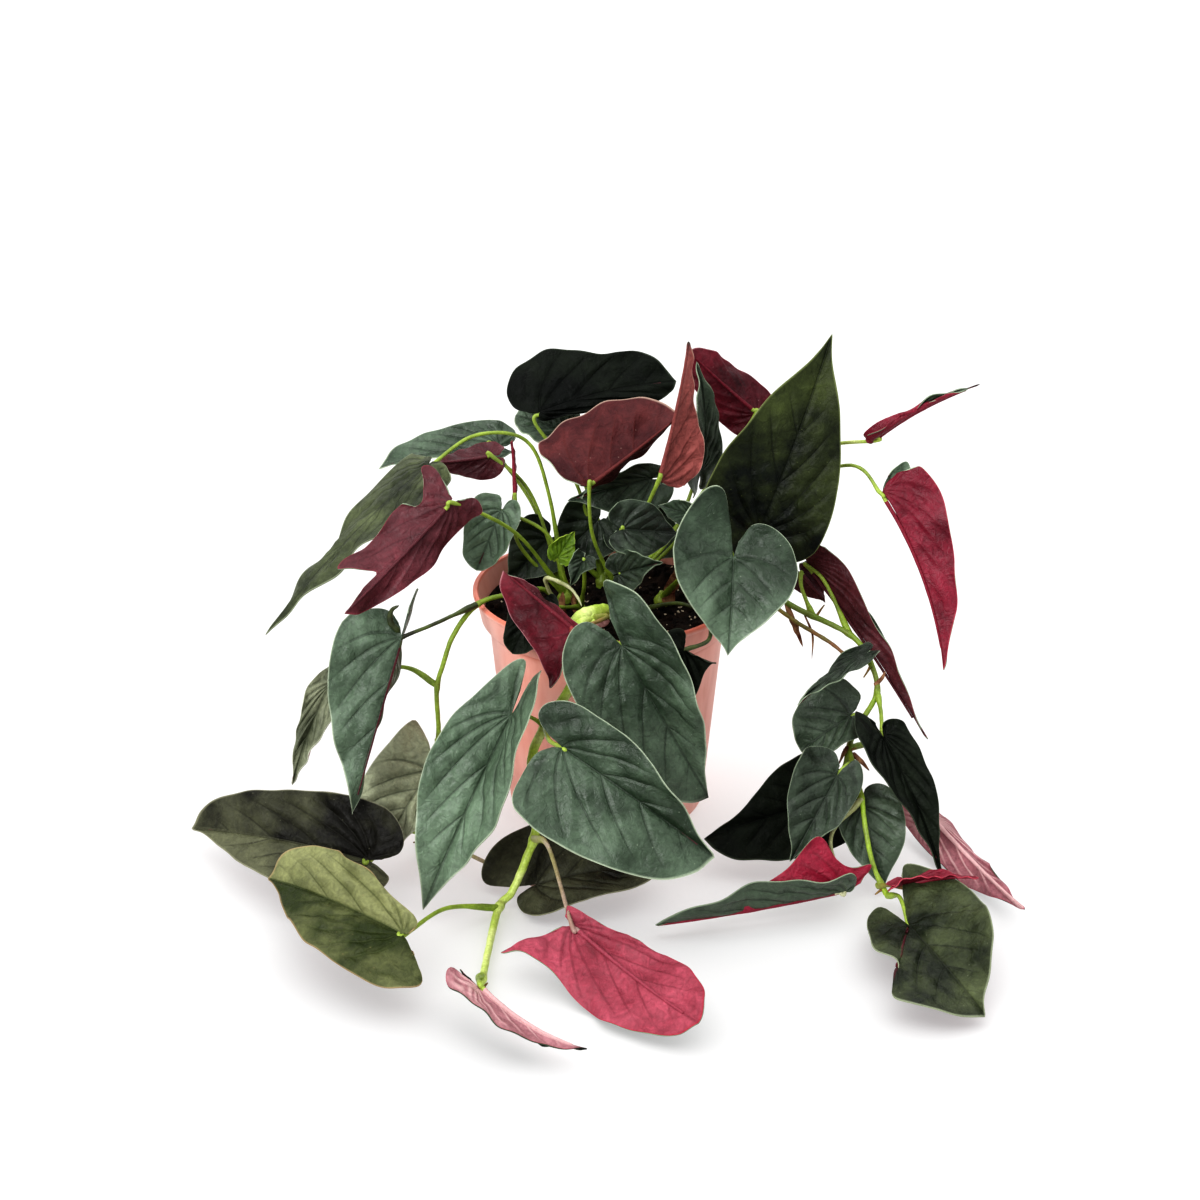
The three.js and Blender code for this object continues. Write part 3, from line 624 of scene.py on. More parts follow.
@dataclass(frozen=True)
class Crumb(Finish):
    """Loose matter, such as peat, grains or dry sheath: dull, two-coloured in patches, crumbly."""

    name: str
    dark: str
    light: str
    patch_mm: float
    crumb_mm: float
    depth_mm: float
    rough: float = 0.95

    def title(self) -> str:
        """The material's name."""
        return self.name

    def shade(self, put: Adder, where: Socket) -> Socket:
        """Works out the patches and the crumbs.

        Args:
            put: Adds a node to the material.
            where: The place on the piece.

        Returns:
            The shader.
        """
        patch, crumb = (
            put("TexNoise", {"Vector": where, "Scale": 1 / (mm * MM), "Detail": detail, "Roughness": rough})
            for mm, detail, rough in ((self.patch_mm, 6, 0.65), (self.crumb_mm, 5, 0.7)))
        part = put("MapRange", (patch, 0.38, 0.66))
        colour = put("Mix", {0: part, 6: linear(self.dark), 7: linear(self.light)}, 2, data_type="RGBA")
        bump = put("Bump", {"Strength": 1.0, "Distance": self.depth_mm * MM, "Height": crumb})
        return put("BsdfPrincipled", {"Base Color": colour, "Roughness": self.rough, "Normal": bump,
                                      "IOR": 1.4, "Specular IOR Level": 0.3})


PEAT = Crumb("damp_peat", "#0b0705", "#291c14", 6.0, 1.6, 0.8)
GRAIN = Crumb("light_grains", "#9c8a70", "#ded2bc", 3.0, 0.8, 0.2)
HUSK = Crumb("dry_sheath", "#5a3226", "#b08a68", 4.0, 0.9, 0.15, 0.8)
PINK_HUSK = Crumb("dry_sheath_pink", "#5c3a36", "#a98480", 4.0, 0.9, 0.15, 0.8)
ROOTLET = Crumb("aerial_root", "#6e5230", "#a58a58", 5.0, 0.9, 0.15, 0.8)


@dataclass
class Leaf:
    """One leaf: its stalk's route, the junction of stalk and blade, the tip, the way its upper side looks.

    width, shape, lobe, fold, ease and curl hold the left and the right half, seen from above with the tip
    ahead. fold and ease are the rise of each half in degrees at the junction and the tip, curl the extra
    rise from midrib to margin, lobe each rear lobe's reach as a share of the length, arch the height of the
    midrib's arc as a share of the length, back the turn of the lobes and twist the turn of the tip. tone is
    how far the colour goes from dark to lit: partly the leaf's own tone and partly painted shade for leaves
    that lie in shadow. halves is what each half adds to it, painted light and shade on halves that face
    towards or away from the light, and along what the junction and the tip add, mostly painted shade
    towards the junction. ribs is how much the blade swells between its side veins, against a plain one.
    """

    name: str
    stalk: list[Point]
    junction: Point
    tip: Point
    face: Point
    width: Pair
    upper: Side = FOREST
    under: Side = MAROON
    shape: tuple[Outline, Outline] = (HEART, HEART)
    lobe: Pair = (0.21, 0.21)
    fold: Pair = (15, 15)
    ease: Optional[Pair] = None
    curl: Pair = (0, 0)
    arch: float = 0.06
    back: float = 0.0
    twist: float = 0.0
    tone: float = 0.5
    halves: Pair = (0, 0)
    along: Pair = (0, 0)
    ribs: float = 1.0
    stem: StemTint = GREEN
    burnt: float = 0.0


class Blade:
    """The blade and stalk of one leaf, worked out on a grid of rays from the junction and rings round it."""

    THICK = 0.5
    WAVE = 1.5
    WAVES = 4
    LOBE = 0.21
    SPREAD = 0.9
    VEIN_STEP = 0.25
    BASE_VEIN_STEP = 0.8
    LEAN = 0.42
    BEND = 0.4
    QUILT = 0.28
    CALM = 0.25
    PUCKER = 0.4
    PUCKER_MM = 9
    SLOW = 1.5
    SLOW_MM = 28
    RIPPLE = 0.5
    FINE_WAVES = (9, 14)
    MOTTLE = 0.12
    MOTTLE_MM = 30
    MARGIN_TONE = 0.1
    GRID_MM = 1.3
    OUTLINE_STEPS = 8
    MIDDLE = (0, 9, 0)
    STALK_FOOT = 1.6
    STALK = 0.95
    STALK_WAIST = 0.05
    STALK_JOINT = 0.15
    STALK_SIDES = 12
    STALK_STEPS = 12
    RIB_STEPS = 5
    RIB_END = 0.3
    RIB_SINK = 0.1
    CREASE = 3.0

    def __init__(self, leaf: Leaf, seed: int) -> None:
        """Sets up the blade's own axes: ahead to the tip, up from its upper side, left square to both."""
        self.leaf = leaf
        self.seed = seed
        self.junction = np.array(leaf.junction, float)
        ahead = np.array(leaf.tip, float) - self.junction
        self.length = float(np.linalg.norm(ahead))
        self.ahead = ahead / self.length
        face = np.array(leaf.face, float)
        self.up = unit(face - self.ahead * face.dot(self.ahead))
        self.left = np.cross(self.up, self.ahead)

    def place(self, a: np.ndarray, b: np.ndarray, u: np.ndarray, rho: np.ndarray) -> np.ndarray:
        """Places on the upper side.

        The midrib is a circular arc: forward = R (sin h - sin(h - t a)), rise = R (cos(h - t a) - cos h),
        with t = 4 atan(2 arch) and h = t / 2. Each half is a strip that leaves it at its fold and bends by
        its curl: side = (sin(f + c q) - sin f) / c, lift = (cos f - cos(f + c q)) / c.

        Args:
            a: Along the midrib, as a share of the length.
            b: Across, in half widths, positive on the left.
            u: Round the margin, from 0 to 1.
            rho: The share of the way from the junction to the margin.

        Returns:
            The places in mm.
        """
        leaf = self.leaf
        a = np.where(a < 0, a * by_half(leaf.lobe, b) / self.LOBE, a)
        turn = 4 * math.atan(2 * leaf.arch)
        radius = self.length / (2 * math.sin(turn / 2))
        angle = turn / 2 - turn * a
        forward = radius * (math.sin(turn / 2) - np.sin(angle))
        rise = radius * (np.cos(angle) - math.cos(turn / 2))
        if leaf.back:
            bend = math.radians(leaf.back) / (self.LOBE * self.length)
            bent = turn / 2 - bend * a * self.length
            forward = np.where(a < 0, -(np.sin(bent) - math.sin(turn / 2)) / bend, forward)
            rise = np.where(a < 0, -(math.cos(turn / 2) - np.cos(bent)) / bend, rise)
            angle = np.where(a < 0, bent, angle)
        fold, ease = by_half(leaf.fold, b), by_half(leaf.ease or leaf.fold, b)
        tilt = np.radians(fold + (ease - fold) * np.clip(a, 0, 1))
        half_width = by_half(leaf.width, b) / 2
        across = np.abs(b) * half_width
        bow = np.radians(by_half(leaf.curl, b)) / half_width + 1e-7
        side = (np.sin(tilt + bow * across) - np.sin(tilt)) / bow * by_half((1, -1), b)
        wave = self.WAVE * rho**2 * np.sin(2 * math.pi * self.WAVES * u) * np.abs(b)
        lift = (np.cos(tilt) - np.cos(tilt + bow * across)) / bow + wave
        roll = math.radians(leaf.twist) * np.clip(a, -0.3, 1)
        sideways = side * np.cos(roll) - lift * np.sin(roll)
        upward = side * np.sin(roll) + lift * np.cos(roll)
        return (self.junction + (forward - np.sin(angle) * upward)[..., None] * self.ahead
                + sideways[..., None] * self.left + (rise + np.cos(angle) * upward)[..., None] * self.up)

    def margin(self) -> np.ndarray:
        """The margin from the left sinus over the tip to the right sinus, as (a, b), at even distances."""
        scale = np.array([self.length, max(self.leaf.width) / 2])
        halves = []
        for outline, way in zip(self.leaf.shape, (1, -1)):
            line = smooth_line(np.array(outline.value) / 100, self.OUTLINE_STEPS) * scale
            count = max(14, int(lengths_along(line)[-1] / self.GRID_MM))
            halves.append(evenly(line, count) / scale * (1, way))
        return np.vstack([halves[0][::-1], halves[1][1:]])

    def veins(self, a: np.ndarray, b: np.ndarray) -> tuple[np.ndarray, np.ndarray]:
        """Where a place lies among the side veins.

        A side vein leaves the midrib at a0 and follows a = a0 + LEAN b + BEND b^2. Ahead of the one from the
        junction they stand VEIN_STEP apart. Behind it they fan out from the junction, at even shares of the
        distance from it.

        Returns:
            The count of veins, whole on each vein, and the mm that one count spans.
        """
        b = np.abs(b)
        half_width = max(self.leaf.width) / 2
        ahead = a - self.LEAN * b - self.BEND * b**2
        reach = np.hypot(a, b * half_width / self.length) + 1e-3
        step = np.where(ahead >= 0, self.VEIN_STEP, self.BASE_VEIN_STEP * reach)
        slope = np.hypot(1 / self.length, (self.LEAN + 2 * self.BEND * b) / half_width)
        return ahead / step, step / slope

    def put(self, piece: Piece) -> None:
        """Adds the blade: both sides on the same grid, and the strip between them round the margin."""
        rim = self.margin()
        rays = len(rim)
        rings = int(np.clip(max(max(self.leaf.width) / 2, self.length / 2) / self.GRID_MM, 8, 34))
        rho = (np.arange(1, rings + 1) / rings) ** self.SPREAD
        a, b = rim[:, :1] * rho, rim[:, 1:] * rho
        u = np.linspace(0, 1, rays)[:, None] + 0 * rho
        out = rho + 0 * u
        upper = self.place(a, b, u, out)
        count, span = self.veins(a, b)
        middle = self.place(*np.zeros((4, 1, 1)))[0]

        # The surface swells between the veins, and the blade has a slow unevenness and a fine-rippled margin.
        normal = unit(np.cross(np.gradient(upper, axis=0), np.gradient(upper, axis=1)))
        between = 1 - np.abs(2 * (np.abs(count) % 1) - 1) ** 2
        across = np.abs(b) * by_half(self.leaf.width, b) / 2
        near = np.clip(across / self.CREASE, 0, 1)
        reach = np.clip(np.hypot(a, b) / self.CALM, 0, 1) * near
        swell = self.leaf.ribs * self.QUILT * between * reach * (1 - out**6)
        slow = ripple(upper, self.SLOW_MM, self.seed) * self.SLOW * out * np.clip(np.abs(b) * 3, 0, 1)
        pucker = self.PUCKER * ripple(upper, self.PUCKER_MM, self.seed + 300) * (1 - out**8) * near
        draw = np.random.default_rng(self.seed)
        waves, phase = draw.uniform(*self.FINE_WAVES), draw.uniform(0, 6)
        fine = self.RIPPLE * out**4 * np.sin(2 * math.pi * waves * u + phase)
        upper = upper + normal * (swell + slow + pucker + fine)[..., None]
        normal = unit(np.cross(np.gradient(upper, axis=0), np.gradient(upper, axis=1)))
        top = np.vstack([middle, upper.reshape(-1, 3)])
        normals = np.vstack([unit(normal[:, 0].mean(axis=0))[None], normal.reshape(-1, 3)])
        bottom = top - normals * self.THICK

        i, k = np.arange(rays - 1)[:, None] * rings + 1, np.arange(rings - 1)[None]
        quads = np.stack([i + k, i + k + rings, i + k + rings + 1, i + k + 1], axis=-1).reshape(-1, 4)
        first = np.arange(rays - 1) * rings + 1
        fan = np.stack([0 * first, first + rings, first, 0 * first - 1], axis=1)
        over = np.vstack([quads, fan])
        count_top = len(top)
        under = np.vstack([quads[:, ::-1], fan[:, [0, 2, 1, 3]]])
        under = np.where(under < 0, -1, under + count_top)
        border = np.concatenate([[0], 1 + np.arange(rings), (np.arange(1, rays) + 1) * rings,
                                 1 + (rays - 1) * rings + np.arange(rings - 2, -1, -1)])
        after = np.roll(border, -1)
        strip = np.stack([border, after, after + count_top, border + count_top], axis=1)
        faces = np.vstack([over, under, strip])
        slots = np.repeat([0, 1, 0], [len(over), len(under), len(strip)])

        lie = np.stack([count, span, across], axis=-1).reshape(-1, 3)
        lie = np.vstack([self.MIDDLE, lie])
        # Tone: the leaf's own plus painted light and shade by half and along the blade, mottle, a lighter
        # margin.
        start, end = self.leaf.along
        tone = self.leaf.tone + by_half(self.leaf.halves, b) + np.interp(a, (0.1, 0.9), (start, end))
        tone = tone + self.MOTTLE * ripple(upper, self.MOTTLE_MM, self.seed + 500)
        tone = tone + self.MARGIN_TONE * (out - 0.5)
        burnt = np.clip((a - 1 + self.leaf.burnt) / max(self.leaf.burnt, 1e-6), 0, 1)
        burnt = burnt * (self.leaf.burnt > 0)
        paint = np.stack([tone, burnt, out], axis=-1).reshape(-1, 3)
        paint = np.vstack([[self.leaf.tone, 0, 0], paint])
        piece.put(np.vstack([top, bottom]), faces, slots, np.vstack([lie, lie]), np.vstack([paint, paint]))

    def put_stalk(self, piece: Piece) -> None:
        """Adds the stalk: a wide foot that narrows, a slight joint under the blade, then the midrib's rib."""
        leaf = self.leaf
        a = np.linspace(0.03, 0.88, 8)
        rib = self.place(a, 0 * a, 0 * a, 0 * a)
        turn = 4 * math.atan(2 * leaf.arch)
        angle = (turn / 2 - turn * a)[:, None]
        below = np.sin(angle) * self.ahead - np.cos(angle) * self.up
        rib_radius = self.STALK * (1 - a) ** 0.8 * 0.8 + self.RIB_END
        rib = rib + below * (self.RIB_SINK + rib_radius)[:, None]
        root = self.junction - self.up * (self.THICK + self.STALK)
        free = smooth_line([*leaf.stalk, tuple(root), tuple(rib[0])], self.STALK_STEPS)
        spine = smooth_line(rib, self.RIB_STEPS)
        line = np.vstack([free, spine[1:]])
        run = lengths_along(line)
        free_length = run[len(free) - 1]
        knots = [0, 0.12 * free_length, 0.3 * free_length, free_length - 9, free_length - 4, free_length]
        shares = [1, 1 - self.STALK_WAIST, 1 + self.STALK_JOINT, 1]
        sizes = [self.STALK_FOOT] * 2 + [self.STALK * share for share in shares]
        order = np.argsort(knots)
        radius = np.interp(run, np.array(knots)[order], np.array(sizes)[order])
        thin = np.interp(np.linspace(0, 1, len(spine)), np.linspace(0, 1, len(a)), rib_radius)
        tail = np.interp(run, free_length + lengths_along(spine), thin)
        radius = np.where(run > free_length, tail, radius)
        along = np.clip(run / free_length, 0, 1)
        rings = tube_rings(line, radius, self.STALK_SIDES, 0.9, self.seed)
        share = np.append(np.repeat(along, self.STALK_SIDES), [0, 1])
        paint = np.stack([share, 0 * share, 0 * share], axis=1)
        faces = ring_faces(len(line), self.STALK_SIDES)
        slot = np.where(faces[:, 0] < self.STALK_SIDES * len(free), 2, 1)
        piece.put(shut(rings), faces, slot, paint=paint)

    def build(self) -> bpy.types.Object:
        """Makes the leaf's object, with its upper, under and stalk materials."""
        piece = Piece()
        self.put(piece)
        self.put_stalk(piece)
        skins = [LeafSkin(self.leaf.upper, False), LeafSkin(self.leaf.under, True), StemSkin(self.leaf.stem)]
        return piece.build(f"leaf_{self.leaf.name}", [skin.build() for skin in skins])


# Where each shoot stands in the soil.
BACK = (-2, 32, 94.5)
LEFT = (-19, 14, 94.5)
CENTRE = (6, 14, 94.5)
RIGHT = (25, 10, 94.5)
SMALL = (8, -8, 94.5)
YOUNG = (-12, 0, 94.5)
SOIL_END = 86.0


@dataclass
class Shoot:
    """A shoot: the CAD node that it stands for, its stem's route and radius, and its leaves."""

    node: str
    slot: str
    tint: StemTint
    radius: float
    route: list[Point]
    leaves: list[Leaf]
    rootlets: int = 0
    taper: float = 0.25

    STEP = 1.1
    SIDES = 18
    NODE_SWELL = 0.32
    NODE_REACH = 2.4
    SCAR_BEHIND = 1.6
    SCAR_REACH = 0.5
    SCAR = 0.8
    ROOTLET_RADII = (0.75, 0.3)
    ROOTLET_SIDES = 8
    ROOTLET_LOWEST = 0.9

    def stem(self, seed: int) -> bpy.types.Object:
        """Makes the stem: a tube that tapers, swells at each leaf's node and has a scar there.

        Args:
            seed: The seed of its unevenness.

        Returns:
            The stem's object.
        """
        line = smooth_line(self.route, 24)
        line = evenly(line, max(12, int(lengths_along(line)[-1] / self.STEP)))
        run = lengths_along(line)
        feet = np.array([leaf.stalk[0] for leaf in self.leaves], float)
        nearest = np.argmin(np.linalg.norm(line[None] - feet[:, None], axis=-1), axis=1)
        near = np.exp(-(((run[:, None] - run[nearest][None]) / self.NODE_REACH) ** 2)).max(axis=1)
        radius = self.radius * (1 - self.taper * run / run[-1]) * (1 + self.NODE_SWELL * near)
        radius = radius * np.sqrt(np.clip((run[-1] - run) / (1.5 * self.radius), 0.12, 1))
        rings = tube_rings(line, radius, self.SIDES, 1.0, seed)
        share = np.append(np.repeat(run / run[-1], self.SIDES), [0, 1])
        behind = run[:, None] - run[nearest][None] + self.SCAR_BEHIND
        ring_scar = self.SCAR * np.exp(-((behind / self.SCAR_REACH) ** 2)).max(axis=1)
        scar = np.append(np.repeat(ring_scar, self.SIDES), [self.SCAR, self.SCAR])
        piece = Piece()
        paint = np.stack([share, scar, 0 * share], axis=1)
        piece.put(shut(rings), ring_faces(len(line), self.SIDES), 0, paint=paint)
        self.put_rootlets(piece, line, run, nearest, seed)
        return piece.build(f"{self.node}_stem", [StemSkin(self.tint).build(), ROOTLET.build()])

    def put_rootlets(self, piece: Piece, line: np.ndarray, run: np.ndarray, nearest: np.ndarray,
                     seed: int) -> None:
        """Adds the short aerial roots that grow from the nodes, each a thin bent taper."""
        draw = np.random.default_rng(seed)
        for foot in draw.permutation(np.repeat(nearest, 2))[:self.rootlets]:
            way = unit(draw.normal(size=3) + (0, 0, -0.5))
            reach = draw.uniform(3, 7)
            foot_at = line[min(foot + 2, len(line) - 1)]
            bend = unit(draw.normal(size=3)) * reach * 0.3
            middle = foot_at + way * reach * 0.5 + bend * 0.4
            route = smooth_line([foot_at, middle, foot_at + way * reach + bend], 5)
            route[:, 2] = np.maximum(route[:, 2], self.ROOTLET_LOWEST)
            radius = np.linspace(*self.ROOTLET_RADII, len(route))
            rings = tube_rings(route, radius, self.ROOTLET_SIDES)
            piece.put(shut(rings), ring_faces(len(route), self.ROOTLET_SIDES), 1)

    def build(self, seed: int) -> list[bpy.types.Object]:
        """Makes the stem and the leaves, which together stand for the CAD node."""
        made = [self.stem(seed)]
        made += [Blade(leaf, seed + 7 * (i + 1)).build() for i, leaf in enumerate(self.leaves)]
        for one in made:
            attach(one, "root")
            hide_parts(self.node)
        return made


def stub(base: Point) -> list[Point]:
    """Route of the short upright stem at a shoot's base."""
    x, y, _ = base
    return [(x, y, SOIL_END), (x, y, 92), (x, y, 98)]


SHOOTS = [
    Shoot("shoot_back", "dark_leaf", GREEN, 3.2, stub(BACK), [
        Leaf("top_dark", [BACK, (-14, 38, 140), (-32, 38, 168)], (-30, 38, 174), (32, 53, 184), (0, -5, 8),
             (58, 20), NIGHT, shape=(BUMPED, OBLONG), lobe=(0.17, 0.05), fold=(12, -20), tone=0.2),
        Leaf("behind_rosy", [BACK, (-8, 44, 130)], (-19, 50, 160), (-42, 54, 167), (0, -5, 8), (30, 30), SAGE,
             shape=(BLUNT, BLUNT), tone=0.5),
        Leaf("low_back_left", [BACK, (-6, 36, 110)], (-4, 36, 122), (-24, 30, 103), (0, -8, 4), (32, 32),
             tone=0.3),
        Leaf("low_back_end", [BACK, (-18, 30, 108)], (-27, 25, 117), (-46, 12, 101), (0, -8, 4), (30, 30),
             tone=0.3),
        Leaf("low_back_right", [BACK, (8, 36, 112)], (10, 38, 124), (35, 34, 104), (0, -8, 4), (34, 34),
             tone=0.35),
    ]),
    Shoot("shoot_left_high", "green_leaf", GREEN, 3.6, stub(LEFT), [
        Leaf("far_left", [LEFT, (-34, 36, 130), (-54, 50, 154)], (-50, 52, 152), (-107, 60, 139), (0, -4, 8),
             (16, 28), SAGE, shape=(HEART, BLUNT), lobe=(0.12, 0.12), tone=0.25),
        Leaf("big_left", [LEFT, (-26, 22, 140), (-36, 22, 166), (-58, 12, 172)], (-78, 0, 163),
             (-148, -35, 97), (-7, -3, 6), (44, 56), FERN, lobe=(0.04, 0.04), fold=(0, -8), arch=0.03,
             tone=0.4),
        Leaf("red_small_left", [LEFT, (-34, 22, 140)], (-52, 26, 157), (-79, 20, 156), (0, 6, -5), (19, 19),
             fold=(25, 25)),
        Leaf("three_points", [LEFT, (-38, -4, 130), (-56, -23, 150)], (-66, -32, 157), (-109, -66, 121),
             (2, 9, -3), (40, 28), shape=(SPLIT, LANCE), fold=(10, 35), lobe=(0.1, 0.13), tone=0.7),
        Leaf("green_left", [LEFT, (-26, 10, 125)], (-47, 8, 138), (-58, -4, 114), (0, -8, 5), (20, 27), SAGE,
             shape=(BLUNT, BLUNT), tone=1.1),
        Leaf("red_sliver", [LEFT, (-40, 14, 120)], (-41, 14, 142), (-42, 18, 168), (0, 9, 2), (15, 15),
             FOREST, CRIMSON, fold=(74, 74)),
    ]),
    Shoot("shoot_centre_tall", "rosy_leaf", GREEN, 3.6, stub(CENTRE), [
        Leaf("rosy", [CENTRE, (-6, 8, 125)], (-8, 4, 151), (33, 28, 176), (0, 8, -4), (24, 66), SAGE, ROSE,
             shape=(HEART, BLUNT), lobe=(0.05, 0.14), fold=(88, 0), ease=(50, 10), curl=(10, 35), tone=0.2),
        Leaf("folded_upright", [CENTRE, (12, 6, 125)], (23, -2, 156), (35, 2, 218), (3, 8, -2), (40, 40),
             FOREST, CORAL, shape=(WAISTED, WAISTED), fold=(46, 75), ease=(84, 84), lobe=(0.04, 0.04),
             tone=0.7, burnt=0.06),
        Leaf("behind_folded", [CENTRE, (30, 24, 120)], (43, 30, 149), (40, 34, 199), (8, -6, 2), (30, 20),
             tone=0.6),
        Leaf("maroon_back", [CENTRE, (40, 36, 130), (60, 44, 158)], (68, 46, 171), (37, 50, 199), (0, 8, -5),
             (27, 27), FOREST, WINE, shape=(BLUNT, BLUNT), fold=(20, 20), tone=0.4),
        Leaf("under_rosy", [CENTRE, (14, 30, 130)], (20, 32, 144), (-18, 28, 135), (0, -8, 4), (30, 14)),
        Leaf("pale_scrap", [CENTRE, (30, 12, 120)], (37, 8, 136), (23, 12, 139), (0, -8, 4), (12, 12), SAGE,
             BLUSH),
    ]),
    Shoot("shoot_right_high", "green_leaf", GREEN, 3.6, stub(RIGHT), [
        Leaf("big_upright", [RIGHT, (44, 6, 115)], (68, 0, 132), (98, 20, 216), (1, -9, 3), (62, 54), MOSS,
             lobe=(0.2, 0.12), fold=(10, 10), tone=0.48, along=(-0.36, 0.05)),
        Leaf("bright_heart", [RIGHT, (38, -12, 120), (50, -26, 136)], (54, -34, 133), (51, -60, 99),
             (1, -6, 7), (56, 56), SAGE, lobe=(0.36, 0.72), back=-15, tone=0.6, along=(-0.6, 0.25)),
        Leaf("rolled", [RIGHT, (66, 28, 136), (92, 26, 160)], (118, 16, 169), (161, 4, 198), (0, -4, 8),
             (11, 11), FOREST, CRIMSON, fold=(20, 20), curl=(175, 175), lobe=(0.03, 0.03), burnt=0.15,
             stem=BRIGHT),
        Leaf("crimson_right", [RIGHT, (64, 24, 134), (106, 12, 158)], (121, -2, 151), (148, -35, 80),
             (9, 1, 3), (30, 40), SAGE, CRIMSON, shape=(SAIL, HEART), fold=(84, 72), lobe=(0.1, 0.03)),
    ]),
    Shoot("shoot_small_right", "dark_leaf", BROWN, 3.2, stub(SMALL), [
        Leaf("rim_right", [SMALL, (30, -26, 108), (42, -44, 110), (43, -57, 105)], (32, -66, 104),
             (20, -68, 75), (0, -8, 4), (30, 24), NIGHT, shape=(LANCE, HEART), lobe=(0.02, 0.25), stem=DARK),
        Leaf("dark_middle", [SMALL, (6, -8, 118)], (7, -14, 138), (32, -2, 131), (0, -8, 5), (27, 27),
             tone=0.35),
        Leaf("dark_low", [SMALL, (6, -14, 108)], (5, -24, 121), (24, -32, 130), (0, -8, 5), (20, 20),
             tone=0.4),
    ]),
    Shoot("shoot_young", "young_leaf", BRIGHT, 2.3, stub(YOUNG), [
        Leaf("lime", [YOUNG, (-18, -8, 110)], (-21, -14, 125), (-14, -11, 136), (0, -8, 4), (12, 12), LIME,
             LIME),
        Leaf("olive_small", [YOUNG, (-10, -12, 110)], (-10, -20, 126), (-16, -28, 117), (0, -8, 4), (12, 12)),
        Leaf("rim_front", [YOUNG, (-20, -30, 108)], (-29, -46, 117), (-40, -56, 98), (0, -7, 6), (20, 20),
             NIGHT, shape=(BLUNT, BLUNT), arch=0.1),
    ]),
    Shoot("shoot_left_trailing", "green_leaf", GREEN, 1.2, [
        (-22, 2, SOIL_END), (-22, 2, 92), (-23.5, 0.5, 98), (-29, -5, 105.5), (-42, -18, 109),
        (-56, -29, 109), (-66, -38, 99), (-71, -42, 86), (-74, -44, 74), (-74, -46, 49), (-80, -47, 12),
        (-84, -48, 4)], [
        Leaf("hanging_left", [(-57, -30, 109), (-74, -48, 108)], (-87, -55, 105), (-108, -85, 36), (0, -9, 3),
             (30, 54), SAGE, fold=(-88, 0), lobe=(0.3, 0.12), tone=0.45, stem=DARK),
        Leaf("edge_left", [(-73, -43, 76), (-90, -40, 84)], (-121, -40, 75), (-138, -54, 33), (-4, -8, 2),
             (26, 14), RIBBED, BLUSH, fold=(25, 25)),
        Leaf("ribbed_pale", [(-74, -46, 52), (-74, -50, 46)], (-77, -56, 41), (-96, -78, 16), (-2, -7, 5),
             (26, 46), RIBBED, CRIMSON, shape=(BLUNT, HORNED), lobe=(0.15, 0.44), tone=0.95, ribs=5),
        Leaf("ground_left", [(-81, -48, 6), (-90, -62, 14)], (-101, -95, 20), (-184, -55, 12), (0, -6, 8),
             (48, 48), DUSK, shape=(HEART, BLUNT), lobe=(0.13, 0.13), halves=(0.45, -0.15),
             along=(-0.35, 0.1), ribs=1.5),
        Leaf("ground_front", [(-81, -48, 6), (-58, -74, 9)], (-30, -95, 8), (24, -91, 15), (0, -4, 9),
             (56, 36), DUSK, shape=(BLUNT, BLUNT), lobe=(0.4, 0.16), tone=0.35, stem=PINKISH),
    ], rootlets=3),
    Shoot("shoot_front_trailing", "green_leaf", BRIGHT, 2.5, [
        (8, -22, SOIL_END), (8, -22, 92), (7, -24, 98), (0, -38, 108.5), (-12, -58, 112), (-13, -66, 98),
        (-16, -68, 87), (-26, -72, 72), (-32, -78, 58), (-30, -90, 34), (-34, -97, 22), (-40, -102, 9),
        (-46, -110, 4), (-50, -164, 4)], [
        Leaf("olive_ground", [(-45, -107, 4), (-66, -126, 16)], (-81, -155, 23), (-142, -105, 17), (1, -6, 8),
             (52, 40), OLIVE, CRIMSON, shape=(EARED, OBLONG), lobe=(0.26, 0.1), halves=(-0.35, 0.25), ribs=2),
        Leaf("front_left", [(-26, -72, 72), (-34, -78, 80)], (-40, -80, 81), (-77, -112, 6), (-1, -8, 4),
             (48, 48), SAGE, shape=(HEART, DROOPED), lobe=(0.21, 0.26), fold=(70, 10), ease=(5, 10), tone=1.0,
             along=(-0.4, 0)),
        Leaf("front_high", [(-12, -66, 98), (-2, -74, 112)], (6, -78, 112), (43, -82, 43), (1, -9, 1),
             (46, 56), SAGE, shape=(HEART, BLUNT), lobe=(0.32, 0.2), fold=(30, 8), tone=0.6,
             along=(-0.4, 0.15), burnt=0.06),
        Leaf("front_low", [(-26, -72, 72), (-24, -96, 78)], (-18, -114, 84), (43, -134, 45), (1, -8, 5),
             (42, 66), SAGE, shape=(HEART, BLUNT), lobe=(0.19, 0.1), fold=(35, 5), tone=0.35,
             halves=(-0.2, 0.05), along=(-0.1, -0.05)),
        Leaf("pink_ground", [(-31, -94, 30), (-24, -112, 36)], (-14, -147, 21), (34, -199, 12), (0, 6, -8),
             (42, 33), FOREST, PINK, shape=(POINTED, OBLONG), fold=(4, 4), stem=PINKISH),
        Leaf("pink_hook", [(-50, -158, 5), (-51, -166, 10)], (-50, -180, 15), (-8, -213, 10), (0, -7, -5),
             (24, 9), NIGHT, BLUSH, fold=(40, 40), burnt=0.12),
        Leaf("maroon_rim", [(-6, -50, 112), (0, -58, 116)], (-13, -70, 115), (-44, -46, 132), (0, 9, -3),
             (10, 52), FOREST, WINE, shape=(HEART, ARROW), lobe=(0.1, 0.15), fold=(60, 8), arch=0.02,
             tone=0.45, stem=RED),
    ], rootlets=4, taper=0.45),
    Shoot("shoot_right_trailing", "dark_leaf", SHADED, 1.35, [
        (38, 16, SOIL_END), (38, 16, 92), (39, 15.5, 98), (46, 12, 106), (64, 4, 109), (82, -5, 98),
        (108, -15, 88), (116, -25, 80), (119, -34, 69), (111, -42, 57), (106, -50, 50), (108, -63, 43),
        (109, -75, 38), (110, -85, 29), (113, -93, 16), (119, -100, 4.5)], [
